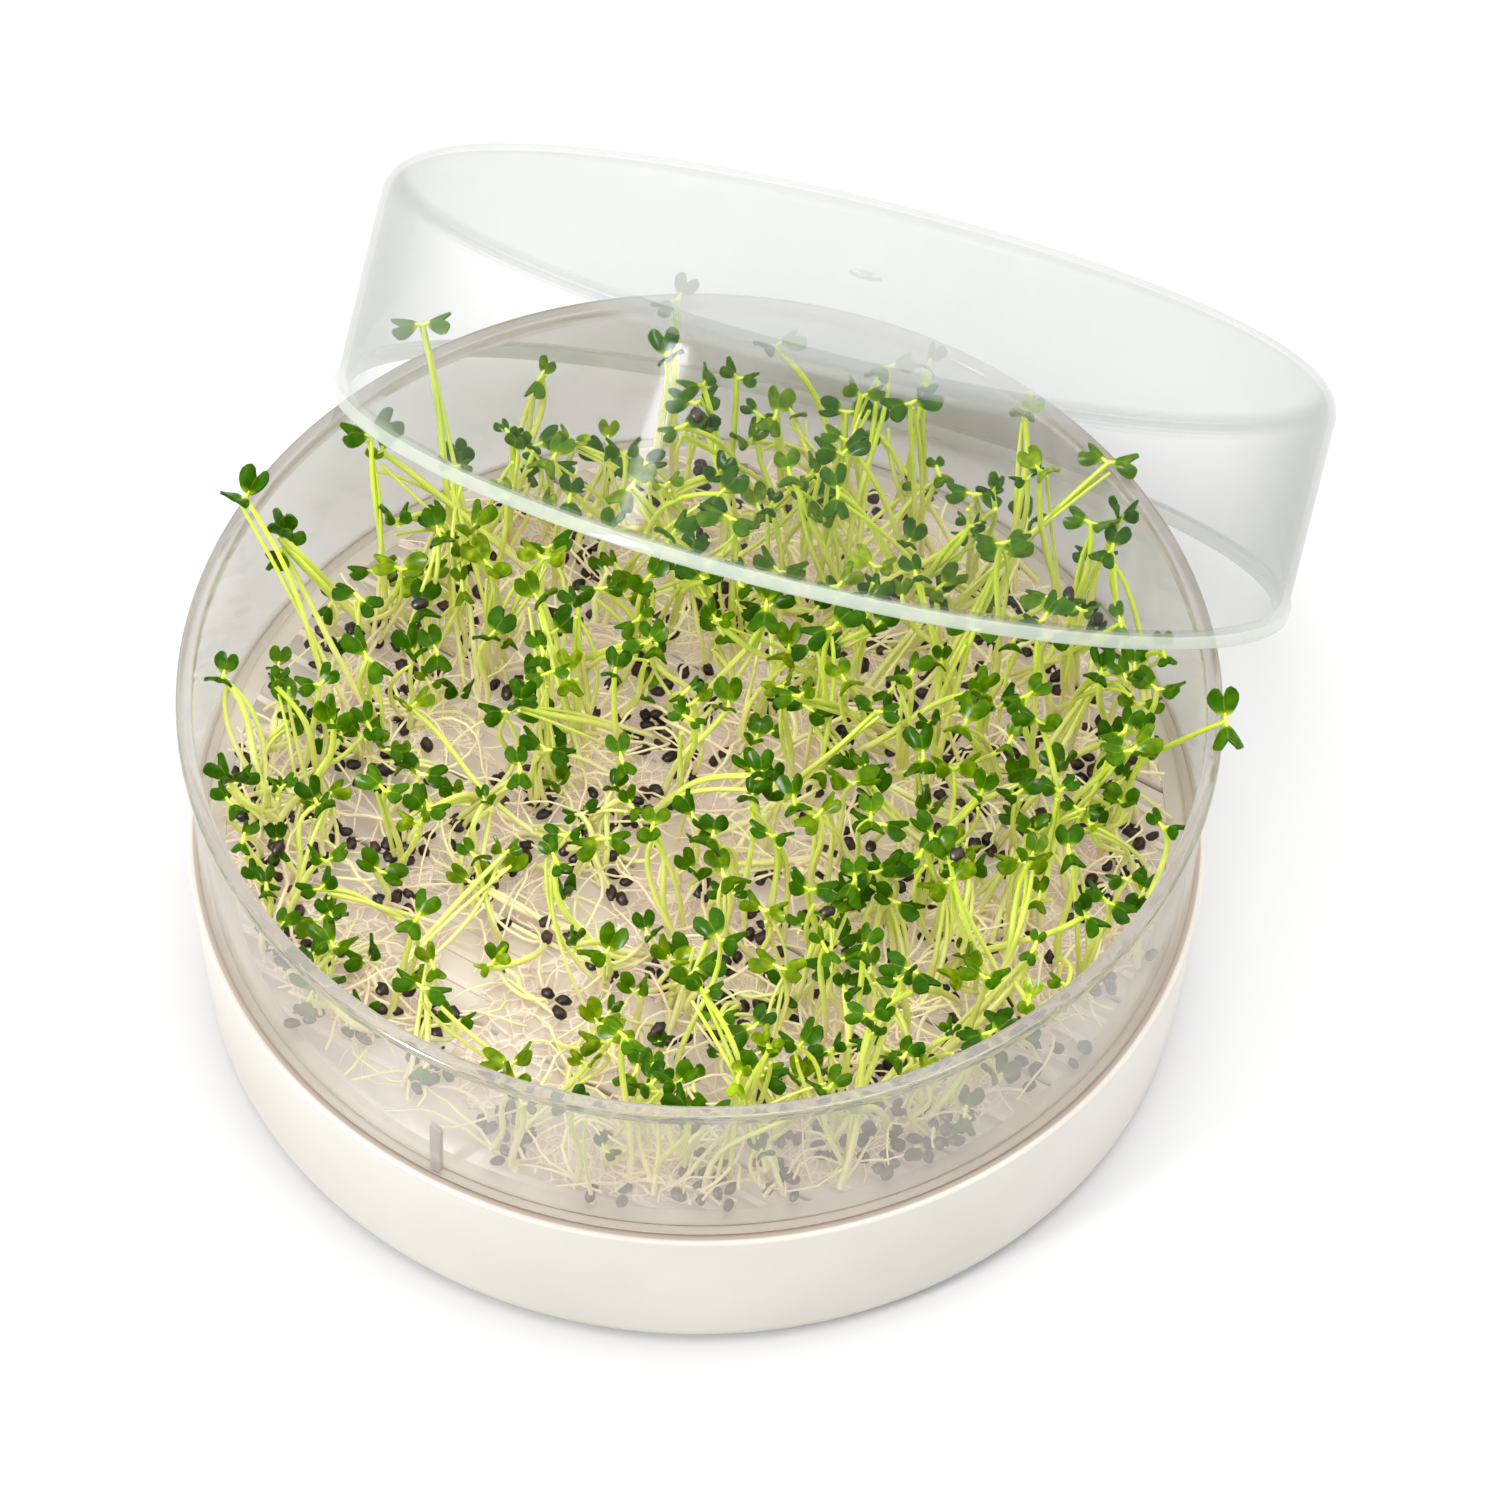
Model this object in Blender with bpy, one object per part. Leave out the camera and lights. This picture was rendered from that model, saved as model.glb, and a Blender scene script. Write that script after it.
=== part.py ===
"""Microgreens tray: a clear round sprouting tray of cress-like seedlings, set on a milky
water dish, with its clear domed lid leaning on the tray's rim behind.

Metres, +Z up. The origin is the centre of the dish's flat underside, on the table.
-Y is the front of the tray; the lid leans on the back and right of it.
"""
import math
import random

import bmesh
import bpy
import numpy as np
from mathutils import Matrix, Vector

MM = 0.001
GAP = 0.3 * MM                     # left between pieces that touch
SIDES = 48                         # facets round a turned piece

# Water dish
DISH_HEIGHT = 28.2 * MM
DISH_RIM_RADIUS = 74.1 * MM
DISH_FOOT_RADIUS = 72.1 * MM       # where the wall meets the rounded foot
DISH_CORNER = 4.2 * MM
DISH_THICKNESS = 2.3 * MM

# Sprouting tray
TRAY_RIM_HEIGHT = 60.0 * MM
TRAY_RIM_RADIUS = 75.0 * MM
TRAY_RIM_DEPTH = 1.8 * MM
TRAY_WALL_TOP = 73.8 * MM          # outer radius under the rim
TRAY_WALL_FOOT = 72.7 * MM         # outer radius at the shoulder on the dish
TRAY_THICKNESS = 1.2 * MM
TRAY_FLOOR = 28.6 * MM             # height of the floor's upper face
TRAY_CORNER = 2.6 * MM
TRAY_RIM_SLOPE = 0.2 * MM          # slope of the rim's underside
FOOT_RADIUS = 70.8 * MM            # the ring that drops inside the dish
FOOT_DEPTH = 4.6 * MM

# Drain slots, in rows on both sides of a plain band across the floor
BAND_HEADING = math.radians(58.7)  # the band's direction in plan, from +X
BAND_HALF_WIDTH = 3.4 * MM
SLOT_WIDTH = 1.0 * MM
SLOT_PITCH = 9.0 * MM
SLOT_ROWS = 6                      # rows each way from the middle
SLOT_REACH = 63.0 * MM

# Upright rib low on the wall, front left
RIB_HEADING = math.radians(-119.4)
RIB_SIZE = (1.0 * MM, 1.8 * MM, 10.5 * MM)
RIB_SINK = 0.25 * MM               # how far it is sunk into the wall
RIB_FOOT_LIFT = 0.4 * MM           # its foot over the floor

# Lid: a shallow cap with a thicker rim
LID_TILT = math.radians(40.9)
LID_HEADING = math.radians(71.8)   # the way the top faces in plan
LID_HEIGHT = 34.1 * MM
LID_WALL_RADIUS = 71.8 * MM
LID_THICKNESS = 1.1 * MM
LID_CORNER = 4.2 * MM
LID_RIM_OUTER = 72.2 * MM
LID_RIM_INNER = 69.7 * MM
LID_RIM_DEPTH = 1.75 * MM
LID_RIM_SLOPES = (0.6 * MM, 0.3 * MM)  # inside and outside, where the wall joins the rim
LID_CLEARANCE = 0.5 * MM           # mouth to tray rim, where they rest on each other
LID_LIFT = 0.2 * MM                # low edge to table

# Seedlings
SEED = 41
CLUMP_SOLVER = "MANIFOLD"          # the exact one fails on some of these unions
CLUMPS = 18
ROOTS = 136                        # places tried over the whole floor
ROOT_RADIUS = 64.5 * MM
TRIES = 40
ROOT_SINK = 1.0 * MM               # height of a root's start over the floor, inside the mat
ROOT_SCATTER = 2.0                 # mm, off its evenly spread place
HEIGHTS = (13, 32)                # mm, root to tip
SLOPE_OF_HEIGHTS = 5.0             # mm taller towards the right and the back
LOWEST = 8.0                       # mm
LEAN = 0.6                         # furthest sideways reach, as a share of the height
COVER = 0.93                       # how thickly the seed came up in the middle
COVER_RIGHT, COVER_BACK = 0.22, 0.08
BAND_THIN, BAND_THIN_WIDTH, BAND_THIN_END = 0.45, 1.6, 0.55
FRONT_THIN, FRONT_THIN_FROM = 0.22, (-0.25, -0.35)
STEM_BALL = 0.66 * MM
LEAF_BALL = 0.93 * MM
WALL_CLEARANCE = 0.35 * MM
RIM_CLEARANCE = 0.4 * MM
WIDEST_REACH = 80 * MM
MAT_GAP = 0.5 * MM
MAT_HEIGHT = 1.9 * MM
MAT_SIDES = 11
MAT_MARGIN = (2.2, 3.6)            # mm past the outermost root
MAT_LAYERS = ((1.0, 0.0), (0.97, 0.5), (0.6, 1.0))  # share of the outline and of the height
MAT_HOLDS = 0.93                   # share of the outline within which a stem is held
HULL_TOP = 3.4 * MM                # nothing of a clump's mat or hulls is higher than this
STEM_RADIUS = 0.52 * MM
LEAF_WIDTH = 4.6 * MM
LEAF_LENGTH = 4.2 * MM
LEAF_THICKNESS = 0.6 * MM
LEAF_CUP = 0.45 * MM
LEAF_WAIST = 1.3 * MM
HULL_LENGTH = 2.2 * MM
HULL_WIDTH = 1.6 * MM
HULLS_PER_CLUMP = 4
HULL_SPREAD = (0.2, 0.62)          # from the clump's middle, as a share of its outline

# Seedlings that stand out on the real tray: root x, y and tip x, y, z, in mm
STRAYS = (
    (-52, 14, -66.5, 30, 64), (61, 2, 75.0, -6, 64.5), (58, 26, 68.5, 40, 72),
    (-36, 42, -42, 57, 72), (-47, 33, -49, 43, 63), (-60, -2, -69, 8, 50),
)

# Half outline of a notched seed leaf: across and along, as shares of its size
LEAF_EDGE = ((0.50, 0.60), (0.25, 1.00))
LEAF_NOTCH = 0.78
LEAF_BALLS = ((0, 0.4), (0, 0.68), (0.31, 0.58), (-0.31, 0.58), (0.25, 0.82), (-0.25, 0.82))


def clear_scene():
    for thing in list(bpy.data.objects):
        bpy.data.objects.remove(thing, do_unlink=True)


def material(name, colour, roughness, transmission=0.0, alpha=1.0):
    finish = bpy.data.materials.new(name)
    finish.use_nodes = True
    shader = finish.node_tree.nodes["Principled BSDF"]
    shader.inputs["Base Color"].default_value = (*colour, 1.0)
    shader.inputs["Roughness"].default_value = roughness
    shader.inputs["Metallic"].default_value = 0.0
    shader.inputs["Transmission Weight"].default_value = transmission
    shader.inputs["Alpha"].default_value = alpha
    finish.diffuse_color = (*colour, alpha)
    return finish


def add_object(name, mesh, finish):
    thing = bpy.data.objects.new(name, mesh)
    bpy.context.collection.objects.link(thing)
    mesh.materials.clear()
    mesh.materials.append(finish)
    return thing


def arc(centre, radius, start, end, steps):
    """Points of a quarter turn in the profile's plane, angles in degrees."""
    turn = [math.radians(start + (end - start) * i / steps) for i in range(steps + 1)]
    return [(centre[0] + radius * math.cos(a), centre[1] + radius * math.sin(a)) for a in turn]


def turned(name, profile):
    """A closed body of revolution from a profile that starts and ends on the axis."""
    body = bmesh.new()
    points = [body.verts.new((r, 0.0, z)) for r, z in profile]
    edges = [body.edges.new(pair) for pair in zip(points, points[1:])]
    bmesh.ops.spin(body, geom=points + edges, axis=(0, 0, 1), cent=(0, 0, 0),
                   angle=math.tau, steps=SIDES, use_merge=True)
    bmesh.ops.remove_doubles(body, verts=body.verts, dist=0.01 * MM)
    on_axis = [v for v in body.verts if math.hypot(v.co.x, v.co.y) < 0.01 * MM]
    bmesh.ops.dissolve_verts(body, verts=on_axis)
    bmesh.ops.recalc_face_normals(body, faces=body.faces)
    mesh = bpy.data.meshes.new(name)
    body.to_mesh(mesh)
    body.free()
    mesh.shade_smooth()
    mesh.set_sharp_from_angle(angle=math.radians(35))
    return mesh


def apply_boolean(thing, operation, solver="EXACT", other=None, collection=None):
    cut = thing.modifiers.new("join", "BOOLEAN")
    cut.operation = operation
    cut.solver = solver
    if collection is not None:
        cut.operand_type = "COLLECTION"
        cut.collection = collection
    else:
        cut.object = other
    bpy.context.view_layer.update()
    graph = bpy.context.evaluated_depsgraph_get()
    mesh = bpy.data.meshes.new_from_object(thing.evaluated_get(graph))
    thing.modifiers.clear()
    thing.data = mesh


def box_into(body, size, place):
    made = bmesh.ops.create_cube(body, size=1.0)
    bmesh.ops.transform(body, matrix=place @ Matrix.Diagonal((*size, 1.0)), verts=made["verts"])


def dish():
    corner = (DISH_FOOT_RADIUS - DISH_CORNER, DISH_CORNER)
    outside = [(0, 0)] + arc(corner, DISH_CORNER, -90, 0, 3)
    rim = [(DISH_RIM_RADIUS, DISH_HEIGHT), (DISH_RIM_RADIUS - DISH_THICKNESS, DISH_HEIGHT)]
    inside = arc(corner, DISH_CORNER - DISH_THICKNESS, 0, -90, 2) + [(0, DISH_THICKNESS)]
    mesh = turned("water_dish", outside + rim + inside)
    return add_object("water_dish", mesh, material("milky_plastic", (0.84, 0.83, 0.79), 0.35))


def tray_inner_radius(z):
    """Radius of the tray wall's inner face at a height above the floor."""
    share = (z - DISH_HEIGHT) / (TRAY_RIM_HEIGHT - DISH_HEIGHT)
    return TRAY_WALL_FOOT + (TRAY_WALL_TOP - TRAY_WALL_FOOT) * share - TRAY_THICKNESS


def tray_profile():
    shoulder = DISH_HEIGHT + GAP
    under_rim = TRAY_RIM_HEIGHT - TRAY_RIM_DEPTH
    underside = TRAY_FLOOR - TRAY_THICKNESS
    foot = DISH_HEIGHT - FOOT_DEPTH
    corner_radius = tray_inner_radius(TRAY_FLOOR + TRAY_CORNER)
    outside = [(0, underside), (FOOT_RADIUS - TRAY_THICKNESS, underside),
               (FOOT_RADIUS - TRAY_THICKNESS, foot), (FOOT_RADIUS, foot), (FOOT_RADIUS, shoulder),
               (TRAY_WALL_FOOT, shoulder), (TRAY_WALL_TOP, under_rim - TRAY_RIM_SLOPE),
               (TRAY_RIM_RADIUS, under_rim), (TRAY_RIM_RADIUS, TRAY_RIM_HEIGHT)]
    corner = arc((corner_radius - TRAY_CORNER, TRAY_FLOOR + TRAY_CORNER), TRAY_CORNER, 0, -90, 2)
    inside = [(tray_inner_radius(TRAY_RIM_HEIGHT), TRAY_RIM_HEIGHT)] + corner + [(0, TRAY_FLOOR)]
    return outside + inside


def slot_mesh():
    """Cutters for the drain slots: rows across the floor, parted by the plain band."""
    body = bmesh.new()
    across = Matrix.Rotation(BAND_HEADING - math.pi / 2, 4, "Z")
    for row in range(2 * SLOT_ROWS):
        offset = (row - SLOT_ROWS + 0.5) * SLOT_PITCH
        reach = math.sqrt(SLOT_REACH ** 2 - offset ** 2)
        length = reach - BAND_HALF_WIDTH
        for side in (-1, 1):
            middle = side * (BAND_HALF_WIDTH + length / 2)
            place = across @ Matrix.Translation((middle, offset, TRAY_FLOOR))
            box_into(body, (length, SLOT_WIDTH, 4 * TRAY_THICKNESS), place)
    mesh = bpy.data.meshes.new("drain_slots")
    body.to_mesh(mesh)
    body.free()
    return mesh


def tray():
    clear = material("clear_plastic", (0.90, 0.91, 0.88), 0.12, 0.6, 0.5)
    thing = add_object("sprouting_tray", turned("sprouting_tray", tray_profile()), clear)
    cutter = add_object("drain_slots", slot_mesh(), clear)
    apply_boolean(thing, "DIFFERENCE", other=cutter)
    bpy.data.objects.remove(cutter, do_unlink=True)
    rib = bmesh.new()
    height = TRAY_FLOOR + RIB_SIZE[2] / 2 + RIB_FOOT_LIFT
    radius = tray_inner_radius(height) + RIB_SINK
    place = Matrix.Rotation(RIB_HEADING, 4, "Z") @ Matrix.Translation((radius, 0, height))
    box_into(rib, RIB_SIZE, place)
    rib_mesh = bpy.data.meshes.new("rib")
    rib.to_mesh(rib_mesh)
    rib.free()
    rib_thing = add_object("rib", rib_mesh, clear)
    apply_boolean(thing, "UNION", other=rib_thing)
    bpy.data.objects.remove(rib_thing, do_unlink=True)
    thing.data.shade_smooth()
    thing.data.set_sharp_from_angle(angle=math.radians(35))
    return thing


def lid_place():
    """The lid's frame where it rests: low edge on the table, mouth on the tray's rim."""
    height = LID_RIM_OUTER * math.sin(LID_TILT) + LID_LIFT
    up_slope = (TRAY_RIM_HEIGHT - height) / math.sin(LID_TILT)
    half_chord2 = (LID_RIM_INNER - LID_CLEARANCE) ** 2 - up_slope ** 2
    chord_at = math.sqrt(TRAY_RIM_RADIUS ** 2 - half_chord2)
    back = chord_at + math.cos(LID_TILT) * up_slope
    centre = (back * math.cos(LID_HEADING), back * math.sin(LID_HEADING), height)
    turn = Matrix.Rotation(LID_HEADING, 4, "Z") @ Matrix.Rotation(LID_TILT, 4, "Y")
    return Matrix.Translation(centre) @ turn


def lid():
    corner = (LID_WALL_RADIUS - LID_CORNER, LID_HEIGHT - LID_CORNER)
    inner = LID_CORNER - LID_THICKNESS
    inside = [(0, LID_HEIGHT - LID_THICKNESS)] + arc(corner, inner, 90, 0, 2)
    wall = LID_WALL_RADIUS - LID_THICKNESS
    slope_in, slope_out = LID_RIM_SLOPES
    rim = [(wall, LID_RIM_DEPTH + slope_in), (LID_RIM_INNER, LID_RIM_DEPTH), (LID_RIM_INNER, 0),
           (LID_RIM_OUTER, 0), (LID_RIM_OUTER, LID_RIM_DEPTH), (LID_WALL_RADIUS, LID_RIM_DEPTH + slope_out)]
    outside = arc(corner, LID_CORNER, 0, 90, 3) + [(0, LID_HEIGHT)]
    thing = add_object("lid", turned("lid", inside + rim + outside),
                       material("clear_lid_plastic", (0.93, 0.94, 0.93), 0.08, 0.8, 0.4))
    thing.matrix_world = lid_place()
    return thing


def spiral(count, radius):
    """Evenly spread places over a disc, as seeds sit in a flower head."""
    golden = math.pi * (3 - math.sqrt(5))
    for i in range(count):
        r = radius * math.sqrt((i + 0.5) / count)
        yield Vector((r * math.cos(i * golden), r * math.sin(i * golden), 0.0))


def growth(place):
    """How thickly the seed came up: thin on the left, at the front left and on the band."""
    x, y = place.x / ROOT_RADIUS, place.y / ROOT_RADIUS
    cover = COVER + COVER_RIGHT * x + COVER_BACK * y
    across = place.x * math.sin(BAND_HEADING) - place.y * math.cos(BAND_HEADING)
    if abs(across) < BAND_THIN_WIDTH * BAND_HALF_WIDTH and y < BAND_THIN_END:
        cover -= BAND_THIN
    if x < FRONT_THIN_FROM[0] and y < FRONT_THIN_FROM[1]:
        cover -= FRONT_THIN
    return cover


def curve_points(root, bend, tip, steps):
    """A quadratic curve from root to tip, pulled towards bend."""
    made = []
    for i in range(steps + 1):
        t = i / steps
        made.append(root * (1 - t) ** 2 + bend * 2 * t * (1 - t) + tip * t ** 2)
    return made


def leaf_frame(tip, heading, pitch, roll):
    """Origin at the leaf's base; X across, Y along, Z out of its upper face."""
    turn = Matrix.Rotation(heading - math.pi / 2, 4, "Z") @ Matrix.Rotation(pitch, 4, "X")
    return Matrix.Translation(tip) @ turn @ Matrix.Rotation(roll, 4, "Y")


class Seedling:
    """A stem and its two seed leaves, with the balls that stand for them in spacing."""

    def __init__(self, root, tip, rng):
        lean = Vector((tip.x - root.x, tip.y - root.y, 0.0))
        low = 0.25 + 0.35 * rng.random()
        self.root, self.tip = root, tip
        self.bend = root + lean * (0.15 + 0.7 * rng.random())
        self.bend.z = root.z + (tip.z - root.z) * (1 - low)
        heading = rng.uniform(0, math.tau)
        self.size = rng.uniform(0.86, 1.12)
        self.leaves = []
        for side in (0, 1):
            turn = heading + side * (math.pi + rng.uniform(-0.5, 0.5))
            frame = leaf_frame(tip, turn, rng.uniform(0.05, 0.95), rng.uniform(-0.35, 0.35))
            self.leaves.append(frame)
        self.balls = self.make_balls()

    def make_balls(self):
        balls = [(*p, STEM_BALL) for p in curve_points(self.root, self.bend, self.tip, 16)[1:]]
        for frame in self.leaves:
            for across, along in LEAF_BALLS:
                lift = LEAF_CUP * abs(across) * 2
                spot = Vector((across * LEAF_WIDTH, along * LEAF_LENGTH, lift)) * self.size
                balls.append((*(frame @ spot), LEAF_BALL))
        return np.array(balls)


def outside_tray(balls):
    """True if any ball comes too near the tray's wall or rim."""
    radius = np.hypot(balls[:, 0], balls[:, 1]) + balls[:, 3] + WALL_CLEARANCE
    inner = np.array([tray_inner_radius(z) for z in balls[:, 2]])
    in_wall = (balls[:, 2] - balls[:, 3] < TRAY_RIM_HEIGHT + RIM_CLEARANCE) & (radius > inner)
    return bool(in_wall.any() or (radius > WIDEST_REACH).any())


def touches_lid(balls, into_lid):
    """True if any ball comes too near the lid's wall, rim or top."""
    points = np.c_[balls[:, :3], np.ones(len(balls))] @ into_lid.T
    reach = balls[:, 3] + RIM_CLEARANCE
    out = np.hypot(points[:, 0], points[:, 1])
    up = points[:, 2]
    near_wall = (out + reach > LID_RIM_INNER) & (out - reach < LID_RIM_OUTER)
    near_wall &= (up + reach > 0) & (up - reach < LID_HEIGHT)
    near_top = (out - reach < LID_RIM_OUTER) & (up + reach > LID_HEIGHT - LID_THICKNESS)
    near_top &= up - reach < LID_HEIGHT
    return bool((near_wall | near_top).any())


def strays_low(balls, sites):
    """True if any part down among the roots lies outside its own clump's patch of floor."""
    low = balls[balls[:, 2] - balls[:, 3] < TRAY_FLOOR + HULL_TOP]
    middles = np.array([(s.x, s.y) for s in sites])
    own = middles[np.argmin(((middles - balls[0, :2]) ** 2).sum(1))]
    for other in middles:
        between = other - own
        apart = math.hypot(*between)
        if apart > 0:
            past = (low[:, :2] - own) @ between / apart + low[:, 3] - apart / 2
            if (past > 0).any():
                return True
    return False


def crowded(balls, others):
    low, high = balls[:, :3].min(0) - 2 * MM, balls[:, :3].max(0) + 2 * MM
    for other in others:
        near = other[((other[:, :3] > low) & (other[:, :3] < high)).all(1)]
        if len(near):
            apart = ((near[None, :, :3] - balls[:, None, :3]) ** 2).sum(2)
            if (apart < (near[None, :, 3] + balls[:, None, 3]) ** 2).any():
                return True
    return False


def place_seedlings(sites):
    """Every seedling, strays first, each clear of the others, the tray and the lid."""
    rng = random.Random(SEED)
    into_lid = np.array(lid_place().inverted())
    ground = TRAY_FLOOR + ROOT_SINK
    grown, taken = [], []

    def settle(root, draw_tip):
        for _ in range(TRIES):
            seedling = Seedling(root, draw_tip(), rng)
            balls = seedling.balls
            if outside_tray(balls) or touches_lid(balls, into_lid) or strays_low(balls, sites):
                continue
            if crowded(balls, taken):
                continue
            grown.append(seedling)
            taken.append(balls)
            return

    for rx, ry, tx, ty, tz in STRAYS:
        root = Vector((rx * MM, ry * MM, ground))
        settle(root, lambda: Vector((tx * MM, ty * MM, tz * MM)))
    for place in spiral(ROOTS, ROOT_RADIUS):
        if rng.random() > growth(place):
            continue
        off = [rng.uniform(-ROOT_SCATTER, ROOT_SCATTER) * MM for _ in range(2)]
        root = Vector((place.x + off[0], place.y + off[1], ground))

        def draw_tip():
            tall = rng.uniform(*HEIGHTS) + SLOPE_OF_HEIGHTS * (place.x + place.y) / ROOT_RADIUS
            lean = rng.uniform(0, LEAN) * tall
            way = rng.uniform(0, math.tau)
            return root + Vector((lean * math.cos(way), lean * math.sin(way), max(tall, LOWEST))) * MM

        settle(root, draw_tip)
    return grown


def mat_reach(site, sites, heading):
    """How far a clump's root mat may spread one way before its neighbour's or the wall."""
    way = Vector((math.cos(heading), math.sin(heading), 0.0))
    along = site.dot(way)
    floor = tray_inner_radius(TRAY_FLOOR) - TRAY_CORNER - RIM_CLEARANCE
    reach = -along + math.sqrt(along ** 2 - site.length_squared + floor ** 2)
    for other in sites:
        between = other - site
        facing = between.normalized().dot(way) if between.length > 0 else 0
        if facing > 1e-3:
            reach = min(reach, (between.length / 2 - MAT_GAP / 2) / facing)
    return reach


def mat_rim(site, sites, roots, rng):
    """Outline of a root mat: round its own roots, ragged, inside its own patch of floor."""
    rim = []
    for i in range(MAT_SIDES):
        heading = math.tau * i / MAT_SIDES
        way = Vector((math.cos(heading), math.sin(heading), 0.0))
        wanted = max([way.dot(root - site) for root in roots] + [0.0]) + rng.uniform(*MAT_MARGIN) * MM
        rim.append(min(wanted, mat_reach(site, sites, heading)) * way)
    return rim


def mat_share(offset, rim):
    """Where a point lies from a mat's middle, 0, to its outline, 1."""
    turn = math.atan2(offset.y, offset.x) % math.tau / math.tau * MAT_SIDES
    first = rim[int(turn) % MAT_SIDES]
    second = rim[(int(turn) + 1) % MAT_SIDES]
    edge = second - first
    normal = Vector((edge.y, -edge.x, 0.0)).normalized()
    return offset.dot(normal) / max(first.dot(normal), 1e-6)


def mat_mesh(site, rim, rng):
    body = bmesh.new()
    low = TRAY_FLOOR + GAP
    rings = []
    for share, height in MAT_LAYERS:
        ring = []
        for point in rim:
            z = low + MAT_HEIGHT * height * (rng.uniform(0.85, 1.15) if height else 1.0)
            ring.append(body.verts.new(site + point * share + Vector((0, 0, z))))
        rings.append(ring)
    for lower, upper in zip(rings, rings[1:]):
        for i in range(MAT_SIDES):
            j = (i + 1) % MAT_SIDES
            body.faces.new((lower[i], lower[j], upper[j], upper[i]))
    body.faces.new(list(reversed(rings[0])))
    top = body.verts.new(site + Vector((0, 0, low + MAT_HEIGHT * 1.05)))
    for i in range(MAT_SIDES):
        body.faces.new((rings[-1][i], rings[-1][(i + 1) % MAT_SIDES], top))
    bmesh.ops.triangulate(body, faces=body.faces)
    bmesh.ops.recalc_face_normals(body, faces=body.faces)
    return finished("mat", body)


def finished(name, body):
    mesh = bpy.data.meshes.new(name)
    body.to_mesh(mesh)
    body.free()
    return mesh


def stem_mesh(seedling):
    """A three-sided tube from inside the mat to inside the waist of the leaves."""
    body = bmesh.new()
    points = curve_points(seedling.root, seedling.bend, seedling.tip, 3)
    rings = []
    for i, point in enumerate(points):
        ahead = (points[min(i + 1, 3)] - points[max(i - 1, 0)]).normalized()
        side = (Vector((1.0, 0.0, 0.0)) - ahead * ahead.x).normalized()
        front = ahead.cross(side)
        radius = STEM_RADIUS * (1.1 - 0.08 * i)
        ring = [point + radius * (side * math.cos(a) + front * math.sin(a))
                for a in (0, math.tau / 3, 2 * math.tau / 3)]
        rings.append([body.verts.new(p) for p in ring])
    for lower, upper in zip(rings, rings[1:]):
        for i in range(3):
            j = (i + 1) % 3
            body.faces.new((lower[i], lower[j], upper[j], upper[i]))
    body.faces.new(list(reversed(rings[0])))
    body.faces.new(rings[-1])
    bmesh.ops.triangulate(body, faces=body.faces)
    bmesh.ops.recalc_face_normals(body, faces=body.faces)
    return finished("stem", body)


def blade_points(frame, size, side):
    """One seed leaf's outline, left to right round its notch, on one of its faces."""
    half = list(LEAF_EDGE)
    outline = [(-x, y) for x, y in half] + [(0.0, LEAF_NOTCH)] + [(x, y) for x, y in reversed(half)]
    points = []
    for x, y in outline:
        lift = LEAF_CUP * abs(x) * 2 * size + side * LEAF_THICKNESS / 2
        points.append(frame @ Vector((x * LEAF_WIDTH * size, y * LEAF_LENGTH * size, lift)))
    return points


def leaf_pair_mesh(seedling):
    """Both notched seed leaves, joined at a narrow waist, split alike on both faces."""
    body = bmesh.new()
    first, second = seedling.leaves
    across = (first.col[0] - second.col[0]).xyz.normalized() * LEAF_WAIST / 2
    up = (first.col[2] + second.col[2]).xyz.normalized() * LEAF_THICKNESS / 2
    rings = []
    for side in (1, -1):
        ring = [seedling.tip - across + up * side] + blade_points(first, seedling.size, side)
        ring += [seedling.tip + across + up * side] + blade_points(second, seedling.size, side)
        rings.append([body.verts.new(point) for point in ring])
    upper, lower = rings
    count = len(upper)
    half = count // 2
    for start in (0, half):
        notch = start + half // 2
        rim = [(start + i) % count for i in range(half + 1)]
        for i, j in zip(rim, rim[1:] + rim[:1]):
            if notch not in (i, j):
                body.faces.new((upper[i], upper[notch], upper[j]))
                body.faces.new((lower[j], lower[notch], lower[i]))
    for i in range(count):
        j = (i + 1) % count
        body.faces.new((upper[i], upper[j], lower[j], lower[i]))
    bmesh.ops.triangulate(body, faces=body.faces)
    bmesh.ops.recalc_face_normals(body, faces=body.faces)
    return finished("leaves", body)


def hull_mesh(place, rng):
    """A cast seed hull lying on the roots, as a pointed bead."""
    body = bmesh.new()
    made = bmesh.ops.create_uvsphere(body, u_segments=6, v_segments=2, radius=0.5)
    turn = Matrix.Rotation(rng.uniform(0, math.tau), 4, "Z")
    turn = turn @ Matrix.Rotation(rng.uniform(1.2, 1.9), 4, "X")
    size = Matrix.Diagonal((HULL_WIDTH, HULL_WIDTH, HULL_LENGTH, 1.0))
    bmesh.ops.transform(body, matrix=Matrix.Translation(place) @ turn @ size, verts=made["verts"])
    return finished("hull", body)


def clump(number, site, rim, seedlings, finish, rng):
    """One bunch: its root mat with the stems, leaves and hulls that it holds, fused."""
    bunch = bpy.data.collections.new("bunch")
    bpy.context.scene.collection.children.link(bunch)
    pieces = []
    for seedling in seedlings:
        pieces.append(stem_mesh(seedling))
        pieces.append(leaf_pair_mesh(seedling))
    for _ in range(HULLS_PER_CLUMP):
        around = rng.choice(rim) * rng.uniform(*HULL_SPREAD)
        pieces.append(hull_mesh(site + around + Vector((0, 0, TRAY_FLOOR + GAP + MAT_HEIGHT)), rng))
    for mesh in pieces:
        bunch.objects.link(bpy.data.objects.new("piece", mesh))
    thing = add_object(f"sprouts_{number:02d}", mat_mesh(site, rim, rng), finish)
    apply_boolean(thing, "UNION", solver=CLUMP_SOLVER, collection=bunch)
    for piece in list(bunch.objects):
        bpy.data.objects.remove(piece, do_unlink=True)
    bpy.data.collections.remove(bunch)
    return thing


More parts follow.
